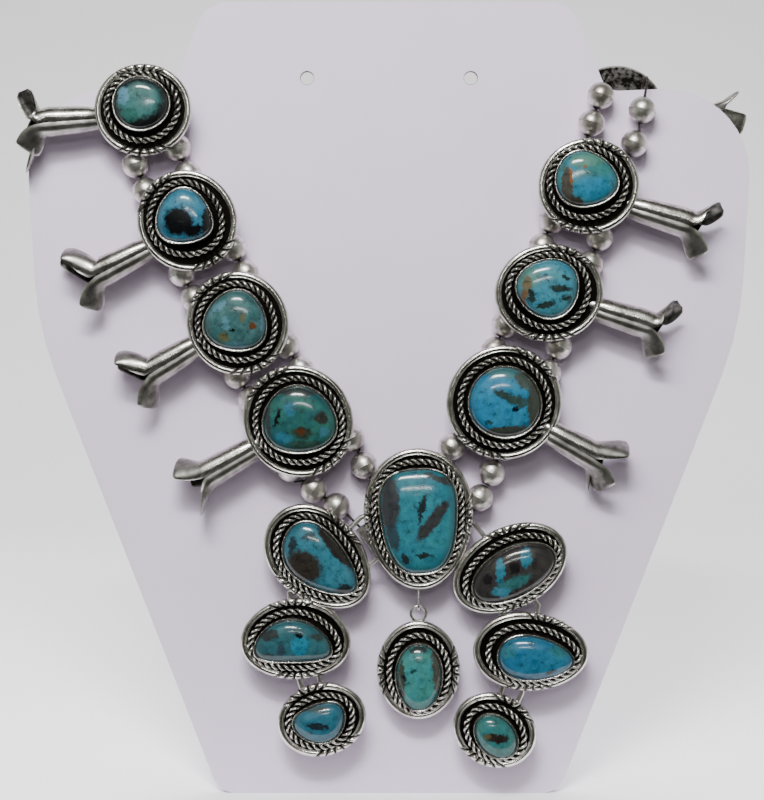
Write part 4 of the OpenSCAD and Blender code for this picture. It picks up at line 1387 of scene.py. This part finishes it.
@dataclass(frozen=True)
class Softbox:
    """A soft light: its place, what it aims at, its size in metres and its power in watts."""

    name: str
    at: Point
    aim: Point
    wide: float
    high: float
    power: float
    glossy: bool = False

    def place(self) -> None:
        """Puts the light in the scene, left out of reflections unless it is glossy."""
        lamp = bpy.data.lights.new(self.name, "AREA")
        lamp.shape = "RECTANGLE"
        lamp.size, lamp.size_y, lamp.energy = self.wide, self.high, self.power
        made = linked(self.name, lamp)
        made.location = self.at
        made.visible_glossy = self.glossy
        made.rotation_mode = "QUATERNION"
        made.rotation_quaternion = (Vector(self.aim) - Vector(self.at)).to_track_quat("-Z", "Y")


@dataclass(frozen=True)
class Studio:
    """The paper sweep, the soft lights and the camera."""

    eye: Point = (-2.3, 129.7, 700.0)
    view_mm: float = 264.0
    sensor_mm: float = 36.0
    wall_y: float = 0.62
    front_y: float = -0.06
    bend_r: float = 0.3
    half_w: float = 2.2
    wall_h: float = 1.8
    pale_way: Point = (-0.1, -0.62, 0.75)
    dim: str = "#3a3b34"
    pale: str = "#f0f4e6"
    strength: float = 0.85
    lights: tuple[Softbox, ...] = (
        Softbox("key", (-0.1, -0.62, 1.0), (0.0, 0.0, 0.12), 0.36, 0.09, 9.5, glossy=True),
        Softbox("strip", (0.0, -0.9, 0.58), (0.0, 0.0, 0.12), 0.3, 0.03, 0.9, glossy=True),
        Softbox("front", (-0.12, -0.36, 0.62), (0.0, 0.0, 0.25), 0.4, 0.25, 4.6),
        Softbox("backdrop", (0.0, 0.4, 1.3), (0.0, 0.42, 0.0), 1.6, 0.5, 11.0),
        Softbox("floor", (0.0, 0.3, 0.55), (0.0, 0.02, 0.0), 1.0, 0.2, 5.0),
    )

    def build(self) -> None:
        """Builds the stage, the lights and the camera."""
        self.sweep()
        for light in self.lights:
            light.place()
        self.air()
        self.camera()

    def air(self) -> None:
        """The room: pale above the camera and at both sides, or else dim, as silver shows it."""
        world = bpy.data.worlds.new("studio_air")
        world.use_nodes = True
        tree = world.node_tree
        way = node(tree, "ShaderNodeTexCoord").outputs["Generated"]
        right = node(tree, "ShaderNodeSeparateXYZ", {0: way})
        pale_way = unit(self.pale_way)
        facing = node(tree, "ShaderNodeVectorMath", {0: way, 1: pale_way}, operation="DOT_PRODUCT")
        above = node(
            tree, "ShaderNodeMapRange", {"Value": facing, 1: 0.8, 2: 0.99}, interpolation_type="SMOOTHSTEP"
        )
        across = node(tree, "ShaderNodeMath", {0: right}, operation="ABSOLUTE")
        beside = node(tree, "ShaderNodeMapRange", {"Value": across, 1: 0.6, 2: 0.95, 3: 0.0, 4: 0.65})
        level = node(tree, "ShaderNodeMath", {0: above, 1: beside}, operation="MAXIMUM")
        tint = node(
            tree, "ShaderNodeMix", {0: level, 6: linear(self.dim), 7: linear(self.pale)}, data_type="RGBA"
        )
        feed(tree.nodes["Background"], {"Color": tint, "Strength": self.strength})
        bpy.context.scene.world = world

    def sweep(self) -> None:
        """A floor that bends up into the backdrop."""
        low = self.wall_y - self.bend_r
        line = [(self.front_y, 0.0)]
        for a in np.linspace(0, math.pi / 2, 16):
            line.append((low + self.bend_r * math.sin(a), self.bend_r * (1 - math.cos(a))))
        line.append((self.wall_y, self.wall_h))
        points = [(side * self.half_w, y, z) for y, z in line for side in (-1, 1)]
        faces = [(2 * i, 2 * i + 1, 2 * i + 3, 2 * i + 2) for i in range(len(line) - 1)]
        mesh = bpy.data.meshes.new("sweep")
        mesh.from_pydata(points, [], faces)
        mesh.polygons.foreach_set("use_smooth", [True] * len(faces))
        mesh.materials.append(SweepPaper().material())
        linked("sweep", mesh)

    def camera(self) -> None:
        """The photograph's camera, square to the card."""
        lens = bpy.data.cameras.new("camera")
        lens.sensor_width = self.sensor_mm
        lens.lens = self.eye[2] * self.sensor_mm / self.view_mm
        lens.clip_start = 0.01
        made = linked("camera", lens)
        s, c = math.sin(LEAN), math.cos(LEAN)
        turn = Matrix(((1, 0, 0), (0, s, -c), (0, c, s))).to_4x4()
        made.matrix_world = Matrix.Translation(Vector(leaned([self.eye])[0].tolist())) @ turn
        bpy.context.scene.camera = made


# This necklace


def hung(across: float, down: float) -> tuple[float, float]:
    """A rosette's place from its shares of the strands' spread and height."""
    return (across * HANG_HALF, SHOULDER_H - down * HANG_H)


def headings(
    places: Sequence[tuple[float, float]], before: tuple[float, float], after: tuple[float, float]
) -> list[np.ndarray]:
    """Which way the strands run through each rosette.

    Args:
        places: The rosettes' places from the shoulder down.
        before: The point that the strands come from, from the first place, in shares of SETTING_D.
        after: The point that they go to, from the naja, in the same shares.

    Returns:
        A unit vector for each rosette.
    """
    ends = (places[0] + np.array(before) * SETTING_D, NAJA_AT + np.array(after) * SETTING_D)
    points = [ends[0], *[np.array(p) for p in places], ends[1]]
    steps = [unit(b - a) for a, b in zip(points, points[1:])]
    return [unit(a + b) for a, b in zip(steps, steps[1:])]


LEFT_AT = [hung(-1, 0.06), hung(-0.82, 0.315), hung(-0.615, 0.55), hung(-0.37, 0.775)]
RIGHT_AT = [hung(0.955, 0.047), hung(0.81, 0.235), hung(0.65, 0.48), hung(0.467, 0.732)]
HIDDEN_WAY = unit((-math.sin(LEG_TURN) / 2, -math.cos(LEG_TURN)))
LEFT_WAYS = headings(LEFT_AT, (0, 0.56), (-0.28, 0.39))
RIGHT_WAYS = [HIDDEN_WAY, *headings(RIGHT_AT[1:], (0.14, 0.56), (0.28, 0.39))]

BROWN = "#403528"
UMBER = "#1e1915"
BLACK = "#101212"
JET = "#0a0c0e"
SHADE = "#1f282b"
DEEP = "#212e2c"
MOSS = "#353c35"
GOLD = "#524e2c"
RUST = "#7b4928"
SKY = "#497180"

SILVER = SterlingSilver("sterling_silver")
SATIN = SterlingSilver("satin_silver", worn="#b9b1a6", roughness=0.36)

LEFT_SETTINGS = (
    Setting(Outline(0.88, 0.835, 0), Outline(0.49, 0.465, 0, 0.05, 0, -0.01, 0.05), (94, -88)),
    Setting(Outline(0.94, 0.89, -50), Outline(0.49, 0.475, -25, 0.28, 0, -0.01, 0.02), (139, -53)),
    Setting(Outline(0.95, 0.92, -55), Outline(0.55, 0.53, -30, 0.2, 0.1, 0, 0.01), (126, -68)),
    Setting(Outline(1.04, 0.98, -50), Outline(0.65, 0.59, -10, 0.12, 0.12, 0.025, 0.01), (128, -47)),
)
RIGHT_SETTINGS = (
    Setting(Outline(0.91, 0.9, 0), Outline(0.49, 0.465, 0, 0.05, 0, 0, 0), (90, -90)),
    Setting(Outline(0.92, 0.865, 10), Outline(0.55, 0.48, -12, 0.18, 0, -0.015, 0.05), (66, -106)),
    Setting(Outline(0.985, 0.885, 5), Outline(0.545, 0.515, 180, 0.12, 0.1, -0.02, 0.03), (62, -90)),
    Setting(Outline(1.05, 1.03, 30), Outline(0.64, 0.62, -30, 0.05, 0, 0.01, -0.005), (51, -117)),
)
LEFT_BLOSSOMS = (
    Blossom(184, -0.04, 0.925, (
        Petal(0.15, 0.3, 115, -0.3, 1.8, wide=0.75), Petal(0.16, -0.25, -35), Petal(0.2, -0.43, 262))),
    Blossom(207, -0.054, 0.955, (
        Petal(0.19, 0.3, 72, 0.4, 1.5), Petal(0.19, -0.26, -50), Petal(0.21, 0.3, 150, wide=0.75))),
    Blossom(210.5, 0.024, 0.905, (
        Petal(0.215, 0.265, 68, 0.4, 1.4), Petal(0.19, -0.27, -60), Petal(0.2, 0.25, 150, wide=0.75))),
    Blossom(209, -0.02, 0.96, (Petal(0.225, 0.195, 48), Petal(0.23, -0.29, -92), Petal(0.14, 0.08, 160))),
)
RIGHT_BLOSSOMS = (
    Blossom(-2, -0.03, 0.88, (
        Petal(0.25, 0.26, 90), Petal(0.26, -0.16, -80), Petal(0.295, -0.06, 172, wide=0.9, shade_and_mottle=0.0))),
    Blossom(-16.5, -0.064, 0.945, (
        Petal(0.275, 0.235, 112, -0.25, 1.8), Petal(0.2, -0.26, -35, wide=0.85), Petal(0.14, -0.02, 170))),
    Blossom(-17, -0.01, 0.945, (
        Petal(0.225, 0.262, 110, -0.25, 1.8), Petal(0.15, -0.26, -50, wide=0.85), Petal(0.12, -0.02, 172))),
    Blossom(-28.5, -0.037, 0.935, (
        Petal(0.265, 0.205, 58, 0.3), Petal(0.25, -0.21, -45), Petal(0.13, -0.3, 262, wide=0.8))),
)


def stone_at(at: Sequence[float], rise: float) -> Point:
    """The middle of a stone's pattern, on the card."""
    return (float(at[0]), float(at[1]), rise + PLATE_T + STONE_H / 2)


def left_stones() -> tuple[Turquoise, ...]:
    """The finishes of the left rosettes' stones, from the shoulder down."""
    at = [stone_at(p, PLATE_RISE) for p in LEFT_AT]
    return (
        Turquoise("turquoise_left_1", "#1b1d1f", "#141616", BLACK, at[0], patches=(
            Patch(-0.9, 2.4, 7.6, 6.2, 10, "#38615f"), Patch(-6.0, 4.0, 2.1, 3.2, 0, SKY),
            Patch(-3.8, -2.2, 3.0, 2.6, 0, "#2a5951", 0.8), Patch(1.0, 6.8, 3.6, 1.0, 0, "#283f3e", 0.8))),
        Turquoise("turquoise_left_2", "#285e76", "#366c80", BLACK, at[1], patches=(
            Patch(-2.6, -0.7, 5.2, 5.0, 0, JET), Patch(2.6, -3.4, 3.6, 1.8, 15, JET),
            Patch(7.2, 0.6, 2.1, 5.8, -10, "#161b1d"), Patch(0.4, 6.4, 4.6, 1.5, 0, "#457787", 0.7))),
        Turquoise("turquoise_left_3", "#2b4e4e", "#3e6062", UMBER, at[2], speckle=0.9, patches=(
            Patch(-6.3, 4.8, 3.8, 1.4, 40, SKY, 0.8), Patch(8.7, 1.0, 1.6, 4.8, 0, SKY, 0.8),
            Patch(-3.6, -0.3, 1.3, 2.6, 0, SKY, 0.7), Patch(-0.4, -7.5, 4.5, 1.2, 0, SKY, 0.6),
            Patch(4.7, -1.1, 1.3, 1.0, 0, "#51321e"), Patch(-4.2, -4.6, 1.9, 1.9, 0, GOLD, 0.8),
            Patch(1.7, 1.6, 1.0, 1.5, 0, GOLD, 0.7), Patch(-1.2, -2.4, 0.8, 0.6, 0, JET))),
        Turquoise("turquoise_left_4", "#1f494c", "#285951", UMBER, at[3], patches=(
            Patch(-2.5, 4.0, 2.2, 2.8, 0, "#295e73", 0.8), Patch(-4.8, -5.4, 3.0, 2.2, 0, "#295e73", 0.8),
            Patch(8.7, -3.5, 2.0, 1.6, 0, "#346574", 0.8), Patch(2.3, -7.8, 6.0, 1.6, 0, "#2a3f35", 0.8),
            Patch(1.5, -3.7, 3.4, 2.1, 0, "#273228"), Patch(1.2, -3.4, 1.8, 0.8, 0, "#4b2c18"),
            Patch(7.7, 1.0, 2.2, 2.2, 0, "#282d28"), Patch(-6.7, 0.7, 0.7, 3.8, -20, JET),
            Patch(-1.0, 9.4, 8.0, 1.3, 0, "#2c3232"), Patch(-9.8, 1.0, 1.0, 6.0, 8, "#253135"))),
    )


def right_stones() -> tuple[Turquoise, ...]:
    """The finishes of the right rosettes' stones, from the shoulder down."""
    at = [stone_at(p, PLATE_RISE) for p in RIGHT_AT]
    hidden = (at[0][0], at[0][1], -CARD_T - at[0][2])
    return (
        Turquoise("turquoise_right_1", "#285e70", "#356c6b", UMBER, hidden, patches=(
            Patch(2.0, -4.0, 4.0, 1.5, 20, BROWN),)),
        Turquoise("turquoise_right_2", "#29687e", "#346f73", UMBER, at[1], patches=(
            Patch(-0.3, 8.0, 7.0, 2.6, 0, "#447065"), Patch(2.3, 4.6, 6.0, 2.6, 0, "#2c6562", 0.7),
            Patch(1.3, -1.2, 6.0, 4.0, 0, "#216c8a", 0.8), Patch(-5.0, -5.2, 3.4, 1.9, -30, "#34352e"),
            Patch(-7.4, 0.5, 1.9, 6.4, 0, "#3f3e37"), Patch(-6.1, 2.6, 0.7, 3.0, 0, RUST, 0.9),
            Patch(-1.4, 5.8, 0.9, 0.7, 0, RUST, 0.9))),
        Turquoise("turquoise_right_3", "#347084", "#3d7882", BLACK, at[2], speckle=1.0, patches=(
            Patch(-6.9, 5.0, 4.0, 4.2, 0, "#446c65", 0.9), Patch(-7.6, 2.0, 1.5, 3.8, 0, "#5d4f37", 0.9),
            Patch(-8.5, -1.9, 1.2, 2.8, 0, "#614a30", 0.9), Patch(-6.0, -1.5, 1.3, 2.4, 0, DEEP),
            Patch(-1.5, -4.3, 3.4, 1.3, 15, DEEP), Patch(3.3, 1.1, 4.0, 1.4, -5, DEEP),
            Patch(5.3, -2.1, 2.0, 1.2, 0, DEEP), Patch(5.5, 4.4, 1.7, 0.8, -20, DEEP),
            Patch(-2.4, 5.2, 1.8, 0.7, 10, DEEP, 0.7))),
        Turquoise("turquoise_right_4", "#21688a", "#2c708c", UMBER, at[3], patches=(
            Patch(0.0, 9.8, 9.0, 2.0, 0, "#376165"), Patch(6.6, 6.8, 4.2, 2.6, -35, "#3d4843"),
            Patch(9.9, -1.8, 2.7, 9.5, 4, MOSS), Patch(1.0, -9.6, 9.0, 2.3, 4, MOSS),
            Patch(0.9, 1.6, 5.6, 1.5, -28, "#253834"), Patch(4.8, 0.4, 3.0, 2.2, -20, "#2a3c37", 0.9),
            Patch(3.5, -2.3, 1.3, 0.9, 0, JET), Patch(-5.0, -6.6, 1.3, 0.6, 0, DEEP, 0.8))),
    )


NAJA_PLACES = (
    (0, 0), (-0.426, -0.19), (-0.523, -0.583), (-0.412, -0.975),
    (0.389, -0.239), (0.477, -0.645), (0.324, -1.027),
)
NAJA_SETTINGS = tuple(Setting(*row, count=256) for row in (
    (Outline(1.28, 0.985, -88, 0.1, 0), Outline(0.93, 0.66, -86, 0.16, 0, 0.005, -0.025, 0.28), (180, -3)),
    (Outline(1.1, 0.8, -43, 0.1, 0), Outline(0.79, 0.465, -43, 0.28, -0.15, 0.015, -0.04), (47, -127)),
    (Outline(1, 0.735, 0, 0, 0.08), Outline(0.68, 0.37, -2, 0.08, 0.42, -0.02, -0.015), (96, -86)),
    (Outline(0.81, 0.665, 15), Outline(0.46, 0.34, 15, -0.1, -0.25, -0.015, -0.035), (120, -60)),
    (Outline(1.11, 0.735, 28), Outline(0.8, 0.43, 28, 0, 0.05, 0.03, -0.04), (95, -69)),
    (Outline(1.045, 0.715, -3, 0.08, 0), Outline(0.67, 0.38, -5, 0.25, 0, 0.045, -0.06), (62, -92)),
    (Outline(0.775, 0.665, -25), Outline(0.43, 0.32, -48, 0, 0, 0.01, -0.05), (52, -113)),
))


def naja_stones() -> tuple[Turquoise, ...]:
    """The finishes of the naja's stones, centre first."""
    at = [stone_at(NAJA_AT + np.array(p) * NAJA_SIZE, NAJA_RISE) for p in NAJA_PLACES]
    return (
        Turquoise("turquoise_naja_centre", "#286574", "#2c707a", UMBER, at[0], patches=(
            Patch(-9.4, 5.4, 3.4, 9.6, 0, "#323538"), Patch(6.7, 13.0, 6.0, 1.2, -18, "#373c3e"),
            Patch(1.0, 3.6, 0.9, 5.6, -15, SHADE), Patch(4.6, -0.4, 2.2, 9.0, -38, "#313334"),
            Patch(-8.2, -5.6, 2.2, 5.0, 12, "#29343a", 0.9), Patch(1.9, -11.8, 3.0, 0.8, 0, SHADE),
            Patch(-4.3, -13.0, 0.9, 2.6, 30, SHADE))),
        Turquoise("turquoise_naja_left_1", "#286170", "#326979", BLACK, at[1], speckle=1.0, patches=(
            Patch(-4.4, -2.4, 6.6, 5.0, -35, "#292622"), Patch(5.4, 3.7, 2.2, 9.4, 39, "#242220"),
            Patch(8.3, -10.0, 3.0, 1.9, 0, SHADE), Patch(-0.7, 6.1, 0.8, 1.0, 0, GOLD),
            Patch(-8.4, 4.0, 1.4, 3.4, -20, SHADE, 0.9), Patch(-3.0, 7.4, 2.6, 1.0, 15, SHADE, 0.8))),
        Turquoise("turquoise_naja_left_2", "#274e56", "#2c595f", SHADE, at[2], speckle=1.0, patches=(
            Patch(1.4, -1.9, 3.0, 3.6, 0, "#21687e"), Patch(-8.8, 1.5, 3.8, 2.0, 0, "#282e30"),
            Patch(-4.6, -3.2, 1.6, 2.2, 0, "#29343e", 0.8), Patch(1.0, 1.8, 1.3, 0.9, 0, JET),
            Patch(7.2, 1.0, 2.0, 1.2, -20, "#303834", 0.9), Patch(-8.6, -5.0, 2.6, 0.9, 0, "#293438", 0.8))),
        Turquoise("turquoise_naja_left_3", "#255565", "#2e5f70", SHADE, at[3], speckle=0.8, patches=(
            Patch(-1.0, -1.6, 4.2, 1.2, -6, "#162128"), Patch(-1.4, 3.8, 4.4, 1.0, 8, "#3f4b4b", 0.9))),
        Turquoise("turquoise_naja_right_1", "#2a2828", "#343230", JET, at[4], speckle=0.8, patches=(
            Patch(0.2, -5.2, 7.4, 2.0, 28, "#2c595a"), Patch(-3.3, -0.9, 1.6, 4.6, 0, "#296779"),
            Patch(4.9, 3.6, 1.9, 3.8, 0, "#296779"), Patch(-3.0, -7.7, 3.0, 1.8, 0, "#346c7e"),
            Patch(1.0, 0.6, 2.0, 2.4, 0, "#181618"), Patch(-7.4, -3.6, 1.6, 1.8, 0, "#181618"))),
        Turquoise("turquoise_naja_right_2", "#1f5976", "#28657e", UMBER, at[5], patches=(
            Patch(9.6, 1.1, 3.4, 3.2, 0, "#286168"), Patch(-7.6, 0.2, 2.4, 2.4, 0, "#2c656e", 0.8),
            Patch(6.2, -6.2, 2.1, 0.8, 20, "#0f181f"))),
        Turquoise("turquoise_naja_right_3", "#285d5f", "#326561", UMBER, at[6], patches=(
            Patch(0.8, -2.0, 3.8, 1.7, -8, "#201b18"), Patch(-2.6, -1.4, 1.4, 1.0, 0, "#4b3f28", 0.8))),
    )


DROP_SETTING = Setting(Outline(0.895, 0.755, 90), Outline(0.59, 0.4, 90, -0.06, 0, 0.005, -0.065), (180, 0))


def drop_stone() -> Turquoise:
    """The finish of the drop's stone."""
    return Turquoise(
        "turquoise_drop", "#317073", "#3a766e", UMBER, stone_at(DROP_AT, DROP_RISE),
        patches=(
            Patch(0.1, 6.9, 3.2, 1.5, 0, "#2a3435"), Patch(5.7, 0.8, 1.6, 9.0, 3, "#3c3d37"),
            Patch(-5.5, -3.2, 1.3, 7.4, 0, "#2a342d"), Patch(-5.0, -1.8, 0.8, 1.0, 0, JET),
            Patch(-1.8, 0.2, 0.9, 0.8, 0, "#143435")),
    )


def main() -> None:
    """Builds the necklace on its card, then the stage."""
    logging.basicConfig(level=logging.INFO, format="%(name)s: %(message)s")
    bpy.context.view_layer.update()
    silver = SILVER.material()
    rope = TwistedWire()
    Studio().build()
    dress_nodes(("display_card", "card_strut"), CardStock().material())
    dress_nodes(("thread_inner", "thread_outer"), WaxedThread().material())
    dress_nodes(("clasp_hook", "clasp_eye"), silver)
    fronts = [Facing.FRONT] * len(LEFT_AT)
    hidden_first = [Facing.BACK, *fronts[1:]]
    sides = (
        ("left", LEFT_AT, LEFT_WAYS, LEFT_SETTINGS, LEFT_BLOSSOMS, left_stones(), fronts),
        ("right", RIGHT_AT, RIGHT_WAYS, RIGHT_SETTINGS, RIGHT_BLOSSOMS, right_stones(), hidden_first),
    )
    for side, *parts in sides:
        for i, own in enumerate(zip(*parts)):
            Rosette(f"{side}_{i + 1}", *own).dress(silver, rope)
    Naja(NAJA_PLACES, NAJA_SETTINGS, naja_stones()).dress(silver, rope)
    Drop(DROP_SETTING, drop_stone()).dress(silver, rope)
    dress_strings(SATIN.material())


if __name__ == "__main__":
    main()
